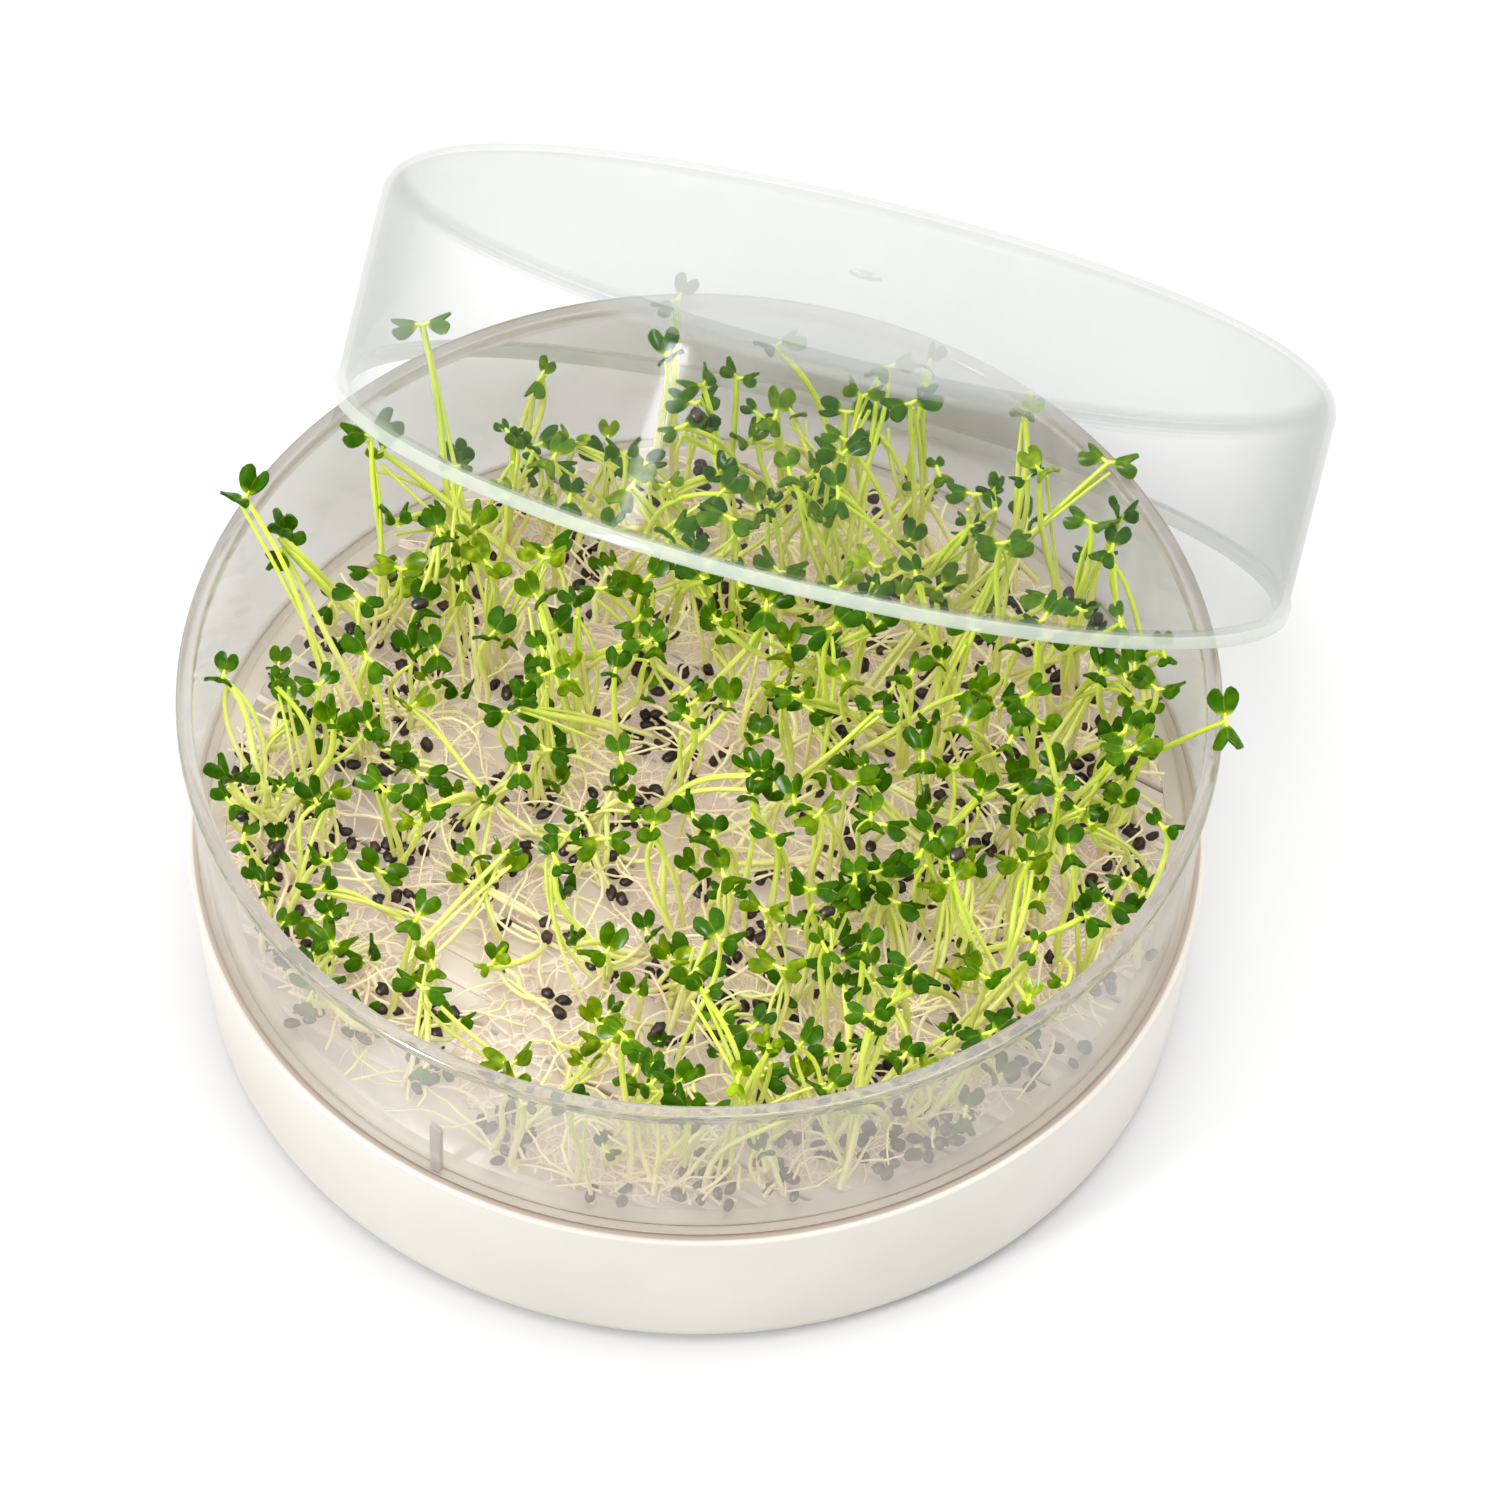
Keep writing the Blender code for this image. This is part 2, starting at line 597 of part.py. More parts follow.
def sprouts():
    finish = material("seedlings", (0.19, 0.42, 0.06), 0.5)
    sites = list(spiral(CLUMPS, ROOT_RADIUS))
    seedlings = place_seedlings(sites)
    rng = random.Random(SEED + 1)
    for number, site in enumerate(sites, start=1):
        flat = [Vector((s.root.x, s.root.y, 0.0)) for s in seedlings]
        own = [i for i, p in enumerate(flat) if min(sites, key=lambda c: (c - p).length) is site]
        if not own:
            continue
        rim = mat_rim(site, sites, [flat[i] for i in own], rng)
        kept = [seedlings[i] for i in own if mat_share(flat[i] - site, rim) < MAT_HOLDS]
        clump(number, site, rim, kept, finish, rng)


def main():
    clear_scene()
    dish()
    tray()
    lid()
    sprouts()


main()
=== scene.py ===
# %% [markdown]
# # A round tray of microgreens
# A kitchen sprouting set: a milky water dish, a clear tray of cress-like seedlings standing
# in it, and the tray's clear lid, taken off and leaning on the rim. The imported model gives
# every body its place. This script makes the fine pieces round it and their finishes.

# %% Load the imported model
import math
import random

import bmesh
import bpy
import numpy as np
from mathutils import Matrix, Vector, noise


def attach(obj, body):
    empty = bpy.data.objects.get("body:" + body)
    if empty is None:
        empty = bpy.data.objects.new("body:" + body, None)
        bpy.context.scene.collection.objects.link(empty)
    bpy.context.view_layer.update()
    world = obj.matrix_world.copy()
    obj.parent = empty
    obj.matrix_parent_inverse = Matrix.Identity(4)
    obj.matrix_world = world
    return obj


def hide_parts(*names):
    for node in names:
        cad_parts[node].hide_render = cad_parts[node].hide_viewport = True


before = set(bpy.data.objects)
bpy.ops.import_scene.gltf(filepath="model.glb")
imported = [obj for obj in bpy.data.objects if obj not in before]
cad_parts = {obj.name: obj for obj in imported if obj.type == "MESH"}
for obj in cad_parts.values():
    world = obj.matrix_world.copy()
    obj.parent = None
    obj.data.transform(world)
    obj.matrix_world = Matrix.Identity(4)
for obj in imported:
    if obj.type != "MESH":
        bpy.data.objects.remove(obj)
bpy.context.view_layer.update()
scene = bpy.context.scene
MM = 0.001
CLUMP_NODES = sorted(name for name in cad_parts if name.startswith("sprouts"))

# %% [markdown]
# ## The camera
# The photograph looks down at the tray with a long lens from well away, so that the round
# rims are nearly plain ellipses. Aiming beside the middle of the tray, and not shifting the
# lens, frames the tray and the lid together. The picture is turned by a degree and a half.

# %% Camera
LOOK_DOWN = math.radians(52.36)
PICTURE_TURN = math.radians(1.65)
CAMERA_DISTANCE = 1.5
LENS_MM = 243.6
AIM_RIGHT, AIM_UP = 7.4 * MM, 28.6 * MM

forward = Vector((0.0, math.cos(LOOK_DOWN), -math.sin(LOOK_DOWN)))
right = Vector((1.0, 0.0, 0.0))
up = right.cross(forward)
eye = right * AIM_RIGHT + up * AIM_UP - forward * CAMERA_DISTANCE
turned_right = right * math.cos(PICTURE_TURN) + up * math.sin(PICTURE_TURN)
turned_up = up * math.cos(PICTURE_TURN) - right * math.sin(PICTURE_TURN)

camera = bpy.data.objects.new("camera", bpy.data.cameras.new("camera"))
camera.data.lens = LENS_MM
camera.data.clip_end = 20.0
axes = Matrix((turned_right, turned_up, -forward)).transposed().to_4x4()
camera.matrix_world = Matrix.Translation(eye) @ axes
scene.collection.objects.link(camera)
scene.camera = camera
print("camera at", [round(c, 3) for c in eye])

# %% [markdown]
# ## Colours and nodes
# Colours are written as they look on a screen, and one function turns them to the linear
# values that shaders want. The others add a node each, with its settings and links.

# %% Helpers for finishes


def linear(code):
    """An sRGB hex colour as linear red, green, blue and alpha."""
    shares = [int(code[i:i + 2], 16) / 255 for i in (1, 3, 5)]
    return (*[s / 12.92 if s <= 0.04045 else ((s + 0.055) / 1.055) ** 2.4 for s in shares], 1.0)


def add(tree, kind, inputs=None, **settings):
    """Adds a node: settings are its own, inputs are values or other nodes' sockets."""
    node = tree.nodes.new(kind)
    for key, value in settings.items():
        setattr(node, key, value)
    for socket, value in (inputs or {}).items():
        if isinstance(value, bpy.types.NodeSocket):
            tree.links.new(value, node.inputs[socket])
        else:
            node.inputs[socket].default_value = value
    return node


def finish(name, **values):
    """A new material, its node tree and its Principled shader with plain values set."""
    made = bpy.data.materials.new(name)
    made.use_nodes = True
    shader = made.node_tree.nodes["Principled BSDF"]
    for socket, value in values.items():
        shader.inputs[socket.replace("_", " ")].default_value = value
    return made, made.node_tree, shader


def feed(tree, shader, **sockets):
    """Links values to the shader's own sockets."""
    for socket, value in sockets.items():
        tree.links.new(value, shader.inputs[socket.replace("_", " ")])


def ramp(tree, factor, *stops):
    """A colour ramp through (place, hex colour) stops."""
    node = add(tree, "ShaderNodeValToRGB", {"Fac": factor})
    marks = node.color_ramp.elements
    while len(marks) < len(stops):
        marks.new(0.5)
    for mark, (place, code) in zip(marks, stops):
        mark.position = place
        mark.color = linear(code)
    return node.outputs["Color"]


def between(tree, value, found, made=(0.0, 1.0)):
    """A value mapped from the range where it is found to the range that is made of it."""
    ends = {"From Min": found[0], "From Max": found[1], "To Min": made[0], "To Max": made[1]}
    return add(tree, "ShaderNodeMapRange", {"Value": value, **ends}).outputs["Result"]


def edge_on(tree, most, steepness):
    """How much a clear wall shines where it is seen edge on, as every glossy sheet does."""
    slant = add(tree, "ShaderNodeLayerWeight", {"Blend": 0.5}).outputs["Facing"]
    steep = add(tree, "ShaderNodeMath", {0: slant, 1: steepness}, operation="POWER")
    return between(tree, steep.outputs[0], (0.0, 1.0), (0.0, most))


# %% [markdown]
# ## Pieces
# Every piece is a bmesh that becomes an object at the origin. It is then hung on the
# object's body, and the nodes of the imported model that it stands for are hidden.

# %% Helpers for pieces


def set_down(piece, slot, *nodes):
    """Hangs a finished piece on the object's body and hides the CAD nodes that it stands for."""
    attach(piece, "root")
    if nodes:
        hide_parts(*nodes)
    piece.data.calc_loop_triangles()
    print(f"{piece.name}: {len(piece.data.loop_triangles)} triangles")


def make_piece(name, body, material, smooth=40):
    """Turns a bmesh into an object at the origin, shaded smooth up to an angle."""
    mesh = bpy.data.meshes.new(name)
    body.to_mesh(mesh)
    body.free()
    mesh.materials.append(material)
    mesh.shade_smooth()
    mesh.set_sharp_from_angle(angle=math.radians(smooth))
    piece = bpy.data.objects.new(name, mesh)
    scene.collection.objects.link(piece)
    return piece


def towards(heading):
    """A flat step of length one."""
    return Vector((math.cos(heading), math.sin(heading), 0.0))


def flat(point):
    return Vector((point.x, point.y, 0.0))


def face_up(sheet):
    """Turns a sheet's faces to one side, mostly upwards."""
    bmesh.ops.recalc_face_normals(sheet, faces=sheet.faces)
    if sum(f.normal.z * f.calc_area() for f in sheet.faces) < 0:
        bmesh.ops.reverse_faces(sheet, faces=sheet.faces)


def on_disc(point):
    """A point of a square from -1 to 1, drawn in to the disc that it holds."""
    return point.x * math.sqrt(1 - point.y ** 2 / 2), point.y * math.sqrt(1 - point.x ** 2 / 2)


# %% [markdown]
# ## Clear and milky plastic
# The tray and the lid are injection-moulded polystyrene: hard, glossy and clear, with a
# high index of 1.59. A thin clear wall is seen through almost straight, so it is drawn by
# letting most rays pass and keeping a little white, more of it in bends, at rims and where
# the wall is seen edge on. The tray has more bloom than the lid, as used kitchen trays do.
# The dish is the same plastic with white in it.

# %% Lid plastic
POLYSTYRENE_IOR = 1.59
LID_TILT, LID_HEADING = math.radians(40.9), math.radians(71.8)
LID_HEIGHT, LID_WALL, LID_THICKNESS = 34.1, 71.8, 1.1
LID_RIM_OUT, LID_RIM_IN, LID_RIM_DEPTH = 72.2, 69.7, 1.75
LID_CLEARANCE, LID_LIFT = 0.5, 0.2
TRAY_TOP, TRAY_RIM = 60.0, 75.0
RIM_FADE = (2.2, 1.9)                  # heights above the mouth between which the rim's look comes in
WALL_VEIL, BEND_VEIL, TOP_VEIL, RIM_VEIL = 0.02, 0.4, 0.12, 0.5
CLOUDED = 0.28                         # the top's veil where it is cloudiest


def lid_place():
    """Where the lid rests: low edge on the table, mouth on the tray's rim at two sides."""
    height = LID_RIM_OUT * math.sin(LID_TILT) + LID_LIFT
    up_slope = (TRAY_TOP - height) / math.sin(LID_TILT)
    half_chord2 = (LID_RIM_IN - LID_CLEARANCE) ** 2 - up_slope ** 2
    back = math.sqrt(TRAY_RIM ** 2 - half_chord2) + math.cos(LID_TILT) * up_slope
    centre = Vector((back * math.cos(LID_HEADING), back * math.sin(LID_HEADING), height)) * MM
    turn = Matrix.Rotation(LID_HEADING, 4, "Z") @ Matrix.Rotation(LID_TILT, 4, "Y")
    return Matrix.Translation(centre) @ turn


lid_at = lid_place()
lid_axis = tuple(lid_at.col[2].xyz)
mouth = lid_at.translation.dot(lid_at.col[2].xyz)
lid_plastic, tree, shader = finish("clear moulded polystyrene", IOR=POLYSTYRENE_IOR, Roughness=0.04)
place = add(tree, "ShaderNodeTexCoord").outputs["Object"]
facet = add(tree, "ShaderNodeNewGeometry").outputs["True Normal"]
facing = add(tree, "ShaderNodeVectorMath", {0: facet, 1: lid_axis}, operation="DOT_PRODUCT").outputs["Value"]
facing = add(tree, "ShaderNodeMath", {0: facing}, operation="ABSOLUTE").outputs[0]
height = add(tree, "ShaderNodeVectorMath", {0: place, 1: lid_axis}, operation="DOT_PRODUCT").outputs["Value"]
at_rim = between(tree, height, [mouth + fade * MM for fade in RIM_FADE], (0.0, RIM_VEIL))
bend = add(tree, "ShaderNodeMath", {0: between(tree, facing, (0.25, 0.85), (WALL_VEIL, BEND_VEIL)),
           1: between(tree, facing, (0.9, 0.99), (BEND_VEIL, TOP_VEIL))}, operation="MINIMUM").outputs[0]
clouds = add(tree, "ShaderNodeTexNoise", {"Vector": place, "Scale": 38.0, "Detail": 4.0}).outputs["Fac"]
clouds = between(tree, clouds, (0.35, 0.7), (TOP_VEIL, CLOUDED))
clouds = add(tree, "ShaderNodeMath", {0: clouds, 1: between(tree, facing, (0.97, 0.995))},
             operation="MULTIPLY").outputs[0]
veil = bend
for other in (at_rim, clouds, edge_on(tree, 0.9, 2.7)):
    veil = add(tree, "ShaderNodeMath", {0: veil, 1: other}, operation="MAXIMUM").outputs[0]
tone = add(tree, "ShaderNodeMath", {0: between(tree, bend, (TOP_VEIL, BEND_VEIL), (0.0, 0.5)),
           1: between(tree, at_rim, (0.0, RIM_VEIL))}, operation="MAXIMUM").outputs[0]
shade = ramp(tree, tone, (0.0, "#A0A39F"), (0.5, "#8A8E8C"), (1.0, "#BAC2B5"))
feed(tree, shader, Alpha=veil, Base_Color=shade)
print(lid_plastic.name)

# %% Tray plastic
RIM_FROM, FOOT_TO = 57.4, 29.2         # heights where the rim begins and where the foot ends
tray_plastic, tree, shader = finish("hazed moulded polystyrene", IOR=POLYSTYRENE_IOR, Roughness=0.1)
place = add(tree, "ShaderNodeTexCoord").outputs["Object"]
haze = add(tree, "ShaderNodeTexNoise", {"Vector": place, "Scale": 60.0, "Detail": 1.0}).outputs["Fac"]
height = add(tree, "ShaderNodeSeparateXYZ", {"Vector": place}).outputs["Z"]
at_rim = between(tree, height, (RIM_FROM * MM, (RIM_FROM + 0.6) * MM))
at_foot = between(tree, height, (FOOT_TO * MM, (FOOT_TO - 0.5) * MM), (0.0, 0.9))
veil = between(tree, haze, (0.3, 0.7), (0.27, 0.37))
for other in (at_rim, at_foot, edge_on(tree, 0.7, 4.0)):
    veil = add(tree, "ShaderNodeMath", {0: veil, 1: other}, operation="MAXIMUM").outputs[0]
mixed = add(tree, "ShaderNodeMix", {"Factor": at_foot}, data_type="RGBA")
feed(tree, mixed, A=ramp(tree, haze, (0.3, "#ADA59A"), (0.7, "#B9B5AE")))
mixed.inputs["B"].default_value = linear("#D4CABD")
feed(tree, shader, Alpha=veil, Base_Color=mixed.outputs["Result"],
     Transmission_Weight=between(tree, at_rim, (0.0, 1.0), (0.0, 0.75)))
print(tray_plastic.name)

# %% Floor plastic
PAINTED_GLOW = {                               # painted light: a glow for the milky dish's light soaking up through the floor
    "Emission_Color": linear("#F6E6CE"), "Emission_Strength": 0.24,
}
# the floor glows a little: painted light that lifts its shade
floor_plastic, tree, shader = finish("clouded moulded polystyrene", IOR=1.5, Roughness=0.35,
                                     Specular_IOR_Level=0.3, **PAINTED_GLOW)
place = add(tree, "ShaderNodeTexCoord").outputs["Object"]
stain = add(tree, "ShaderNodeTexNoise", {"Vector": place, "Scale": 45.0, "Detail": 3.0}).outputs["Fac"]
feed(tree, shader, Base_Color=ramp(tree, stain, (0.3, "#B5A79C"), (0.5, "#BDB3A9"), (0.7, "#C4BEB6")))
print(floor_plastic.name)

# %% Dish plastic
LEDGE, SEAM = 27.9, 73.25              # painted shade: the tan line of the gap under the tray's shoulder starts at this height and ends at this radius
SEAM_FADE = 0.2
milky_plastic, tree, shader = finish("milk-white moulded polystyrene", IOR=1.5, Roughness=0.3)
place = add(tree, "ShaderNodeTexCoord").outputs["Object"]
milk = add(tree, "ShaderNodeTexNoise", {"Vector": place, "Scale": 22.0, "Detail": 3.0}).outputs["Fac"]
height = add(tree, "ShaderNodeSeparateXYZ", {"Vector": place}).outputs["Z"]
on_ledge = between(tree, height, ((LEDGE - SEAM_FADE) * MM, LEDGE * MM))
level = add(tree, "ShaderNodeVectorMath", {0: place, 1: (1.0, 1.0, 0.0)}, operation="MULTIPLY")
out = add(tree, "ShaderNodeVectorMath", {0: level.outputs["Vector"]}, operation="LENGTH").outputs["Value"]
inside = between(tree, out, ((SEAM + SEAM_FADE) * MM, SEAM * MM))
# the dish's ledge under the tray's shoulder gets a painted shadow in tan
seam_shadow = add(tree, "ShaderNodeMath", {0: on_ledge, 1: inside}, operation="MULTIPLY").outputs[0]
mixed = add(tree, "ShaderNodeMix", {"Factor": seam_shadow}, data_type="RGBA")
feed(tree, mixed, A=ramp(tree, milk, (0.3, "#BDB8AE"), (0.7, "#C7C4BD")))
mixed.inputs["B"].default_value = linear("#A3968A")
feed(tree, shader, Base_Color=mixed.outputs["Result"])
print(milky_plastic.name)

# %% [markdown]
# ## Turned shells
# Dish, tray and lid are round, so each is one profile spun about its axis. An arc of a few
# points rounds every corner, because a sharp one would not catch the light.

# %% Profiles and the spin
ROUND_STEPS = 168


def arc(middle, radius, start, end, steps):
    """Points of a part turn in the profile's plane, angles in degrees."""
    made = []
    for i in range(steps + 1):
        turn = math.radians(start + (end - start) * i / steps)
        made.append((middle[0] + radius * math.cos(turn), middle[1] + radius * math.sin(turn)))
    return made


def turned(profile, closed=False, place=None):
    """A shell spun from a profile in millimetres, (radius, height), closed or axis to axis."""
    body = bmesh.new()
    points = [body.verts.new((r * MM, 0.0, z * MM)) for r, z in profile]
    ends = list(zip(points, points[1:] + points[:1] if closed else points[1:]))
    edges = [body.edges.new(pair) for pair in ends]
    bmesh.ops.spin(body, geom=points + edges, axis=(0, 0, 1), cent=(0, 0, 0), angle=math.tau,
                   steps=ROUND_STEPS, use_merge=True)
    bmesh.ops.remove_doubles(body, verts=body.verts, dist=0.005 * MM)
    bmesh.ops.recalc_face_normals(body, faces=body.faces)
    if place is not None:
        bmesh.ops.transform(body, matrix=place, verts=body.verts)
    return body


# %% Water dish
DISH_RIM, DISH_TOP, DISH_FOOT, DISH_CORNER, DISH_THICKNESS = 74.1, 28.2, 72.1, 4.2, 2.3
dish_corner = (DISH_FOOT - DISH_CORNER, DISH_CORNER)
dish_profile = (
    [(0, 0.6), (58, 0.6), (59, 0)] + arc(dish_corner, DISH_CORNER, -90, 0, 8)
    + arc((DISH_RIM - 0.5, DISH_TOP - 0.5), 0.5, 0, 90, 4)
    + arc((DISH_RIM - DISH_THICKNESS + 0.3, DISH_TOP - 0.3), 0.3, 90, 180, 3)
    + arc(dish_corner, DISH_CORNER - DISH_THICKNESS, 0, -90, 5) + [(0, DISH_THICKNESS)])
dish = make_piece("milky_dish", turned(dish_profile), milky_plastic)
set_down(dish, "milky_plastic", "water_dish")

# %% [markdown]
# ## The tray
# Its wall stands on the dish's rim by a shoulder, and a ring below the floor drops inside.
# The floor is a sheet of its own here. Narrow strips are cut across it: three of four are
# raised as ribs, the fourth is taken out as drain slots, and a plain band parts them.

# %% Tray wall
FLOOR_TOP, FLOOR_UNDER = 28.6, 27.4
FLOOR_RADIUS = 68.4
RING_IN, RING_OUT, RING_FOOT = 69.6, 70.8, 23.9     # the ring that drops inside the dish
SHOULDER_IN, SHOULDER_OUT, SHOULDER_UNDER = 71.1, 72.4, 28.5
WALL_TOP_OUT, WALL_TOP_IN = 73.75, 73.1
BESIDE_FLOOR = FLOOR_RADIUS + 0.05
wall_profile = (
    [(BESIDE_FLOOR, FLOOR_UNDER), (RING_IN, FLOOR_UNDER), (RING_IN, RING_FOOT)]
    + arc((RING_IN + 0.6, RING_FOOT), 0.6, 180, 360, 4) + [(RING_OUT, 28.1), (SHOULDER_IN, SHOULDER_UNDER)]
    + arc((SHOULDER_OUT, SHOULDER_UNDER + 0.3), 0.3, -90, 0, 2) + [(WALL_TOP_OUT, 57.6)]
    + arc((TRAY_RIM - 0.4, 58.7), 0.4, -90, 0, 3) + arc((TRAY_RIM - 0.6, TRAY_TOP - 0.6), 0.6, 0, 90, 4)
    + arc((WALL_TOP_IN, TRAY_TOP - 0.5), 0.5, 90, 180, 3)
    + arc((70.5, FLOOR_TOP + 1.1), 1.1, 0, -90, 4) + [(BESIDE_FLOOR, FLOOR_TOP)])
wall = make_piece("tray_wall", turned(wall_profile, closed=True), tray_plastic)
set_down(wall, "clear_plastic", "sprouting_tray")

# %% Upright mark on the wall
MARK_HEADING, MARK_OUT = math.radians(-119.4), 71.9
MARK_WIDTH, MARK_HEIGHT, MARK_SLANT, MARK_EDGE = 1.8, 10.5, 0.9, 0.18
mark_mesh = bmesh.new()
bar = Matrix.Diagonal((1.0, MARK_WIDTH, MARK_HEIGHT, 1.0 / MM)) * MM
bmesh.ops.create_cube(mark_mesh, size=1.0, matrix=bar)
slanted = [v for v in mark_mesh.verts if v.co.z > 0 and v.co.y > 0]
bmesh.ops.translate(mark_mesh, verts=slanted, vec=(0, 0, -MARK_SLANT * MM))
bmesh.ops.bevel(mark_mesh, geom=mark_mesh.edges[:], offset=MARK_EDGE * MM, segments=2, profile=0.5,
                affect="EDGES", material=-1)
mark_at = towards(MARK_HEADING) * MARK_OUT * MM
mark_at.z = (FLOOR_TOP + 0.4 + MARK_HEIGHT / 2) * MM
upright = Matrix.Translation(mark_at) @ Matrix.Rotation(MARK_HEADING, 4, "Z")
bmesh.ops.transform(mark_mesh, matrix=upright, verts=mark_mesh.verts)
mark = make_piece("wall_mark", mark_mesh, milky_plastic)
set_down(mark, "clear_plastic")

# %% Tray floor
BAND_HEADING = math.radians(58.7)
BAND_HALF_WIDTH = 3.4 * MM
RIB_PITCH, RIB_WIDTH, RIB_HEIGHT = 4.5 * MM, 1.0 * MM, 0.35 * MM
RIB_REACH = 64.0 * MM
along_band = towards(BAND_HEADING)
across_band = Vector((along_band.y, -along_band.x, 0.0))


def floor_sheet():
    sheet = bmesh.new()
    bmesh.ops.create_circle(sheet, cap_ends=True, segments=120, radius=FLOOR_RADIUS * MM,
                            matrix=Matrix.Translation((0, 0, FLOOR_TOP * MM)))
    edge = FLOOR_RADIUS * MM - RIB_REACH
    bmesh.ops.inset_region(sheet, faces=sheet.faces[:], thickness=edge, use_even_offset=True)
    cuts = [(side * BAND_HALF_WIDTH, across_band) for side in (-1, 1)]
    rows = int(RIB_REACH / RIB_PITCH)
    cuts += [((row + 0.5) * RIB_PITCH + side * RIB_WIDTH / 2, along_band)
             for row in range(-rows, rows) for side in (-1, 1)]
    for offset, way in cuts:
        bmesh.ops.bisect_plane(sheet, geom=sheet.verts[:] + sheet.edges[:] + sheet.faces[:],
                               dist=0.001 * MM, plane_co=way * offset, plane_no=way)
    ribs, slots = [], []
    for face in sheet.faces:
        middle = flat(face.calc_center_bounds())
        row = middle.dot(along_band) / RIB_PITCH - 0.5
        on_strip = abs(row - round(row)) * RIB_PITCH < RIB_WIDTH / 2
        beside_band = abs(middle.dot(across_band)) > BAND_HALF_WIDTH
        if middle.length < RIB_REACH * 0.99 and on_strip and beside_band:
            (slots if round(row) % 4 == 1 else ribs).append(face)
    bmesh.ops.delete(sheet, geom=slots, context="FACES")
    raised = bmesh.ops.extrude_face_region(sheet, geom=ribs)
    tops = [part for part in raised["geom"] if isinstance(part, bmesh.types.BMVert)]
    bmesh.ops.translate(sheet, verts=tops, vec=(0, 0, RIB_HEIGHT))
    bmesh.ops.delete(sheet, geom=[f for f in ribs if f.is_valid], context="FACES_ONLY")
    face_up(sheet)
    return sheet


floor = make_piece("tray_floor", floor_sheet(), floor_plastic, smooth=30)
thick = floor.modifiers.new("floor thickness", "SOLIDIFY")
thick.thickness = (FLOOR_TOP - FLOOR_UNDER) * MM
thick.offset = -1.0
set_down(floor, "clear_plastic")

# %% Lid
LID_CORNER, STEP_TOP, STEP_FOOT = 4.2, 2.6, 1.9     # the step is inside the mouth
GATE_OUT, GATE_IN, GATE_HEIGHT = 2.6, 0.9, 0.3      # the ring that the mould's gate left in the middle
corner = (LID_WALL - LID_CORNER, LID_HEIGHT - LID_CORNER)
gate = [(GATE_OUT, LID_HEIGHT), (GATE_OUT - 0.3, LID_HEIGHT + GATE_HEIGHT),
        (GATE_IN + 0.2, LID_HEIGHT + GATE_HEIGHT), (GATE_IN, LID_HEIGHT)]
lid_profile = (
    [(0, LID_HEIGHT - LID_THICKNESS)] + arc(corner, LID_CORNER - LID_THICKNESS, 90, 0, 8)
    + [(LID_WALL - LID_THICKNESS, STEP_TOP), (LID_RIM_IN + 0.3, STEP_FOOT)]
    + arc((LID_RIM_IN + 0.25, 0.25), 0.25, 180, 270, 2) + arc((LID_RIM_OUT - 0.3, 0.3), 0.3, -90, 0, 3)
    + arc((LID_RIM_OUT - 0.15, LID_RIM_DEPTH - 0.15), 0.15, 0, 90, 2)
    + [(LID_WALL, LID_RIM_DEPTH + 0.3)] + arc(corner, LID_CORNER, 0, 90, 10) + gate + [(0, LID_HEIGHT)])
lid = make_piece("lid_shell", turned(lid_profile, place=lid_at), lid_plastic)
set_down(lid, "clear_lid_plastic", "lid")

# %% [markdown]
# ## Where the seedlings stand
# Seeds were scattered over the floor and came up in clumps, thinner at the left, at the
# front left and along the plain band. The rule here is the one that the solid model uses,
# with the same seeded draws, so that each fine seedling stands where its solid one does.
# Every seedling is kept clear of the others, of the wall and of the lid, as growing ones
# keep out of each other's way. Then more are added between them, at their true number.

# %% Layout rule
SEED, CLUMPS, ROOTS, TRIES = 41, 18, 136, 40
ROOT_RADIUS = 64.5 * MM
MAT_GAP, MAT_SIDES, HULL_TOP = 0.5 * MM, 11, 3.4 * MM
SOLID_LEAF = (4.6 * MM, 4.2 * MM)
LEAF_CUP = 0.45 * MM
WALL_GAP, RIM_GAP, LID_GAP = 0.35 * MM, 0.4, 0.4 * MM
WALL_FOOT, WALL_FLARE, WALL_THICKNESS = 72.7, 1.1, 1.2
FARTHEST = 80 * MM                     # no leaf hangs out over the rim past this radius
LEAF_BALLS = ((0, 0.4), (0, 0.68), (0.31, 0.58), (-0.31, 0.58), (0.25, 0.82), (-0.25, 0.82))
STRAYS = (
    (-52, 14, -66.5, 30, 64), (61, 2, 75.0, -6, 64.5), (58, 26, 68.5, 40, 72),
    (-36, 42, -42, 57, 72), (-47, 33, -49, 43, 63), (-60, -2, -69, 8, 50),
)


def wall_radius(z):
    """Radius of the tray wall's inner face at a height."""
    share = (z / MM - DISH_TOP) / (TRAY_TOP - DISH_TOP)
    return (WALL_FOOT + WALL_FLARE * share - WALL_THICKNESS) * MM


def spiral(count, radius):
    """Evenly spread places over a disc, as seeds sit in a flower head."""
    golden = math.pi * (3 - math.sqrt(5))
    for i in range(count):
        r = radius * math.sqrt((i + 0.5) / count)
        yield Vector((r * math.cos(i * golden), r * math.sin(i * golden), 0.0))


def growth(place):
    """How thickly the seed came up at a place."""
    x, y = place.x / ROOT_RADIUS, place.y / ROOT_RADIUS
    cover = 0.93 + 0.22 * x + 0.08 * y
    across = place.x * math.sin(BAND_HEADING) - place.y * math.cos(BAND_HEADING)
    if abs(across) < 1.6 * BAND_HALF_WIDTH and y < 0.55:
        cover -= 0.45
    if x < -0.25 and y < -0.35:
        cover -= 0.22
    return cover


def stem_path(root, bend, tip, steps):
    """A quadratic curve from root to tip, pulled towards bend."""
    shares = [i / steps for i in range(steps + 1)]
    return [root * (1 - t) ** 2 + bend * 2 * t * (1 - t) + tip * t ** 2 for t in shares]


def leaf_frame(tip, heading, pitch, roll):
    """Origin at the leaf's base; X across, Y along, Z out of its upper face."""
    turn = Matrix.Rotation(heading - math.pi / 2, 4, "Z") @ Matrix.Rotation(pitch, 4, "X")
    return Matrix.Translation(tip) @ turn @ Matrix.Rotation(roll, 4, "Y")


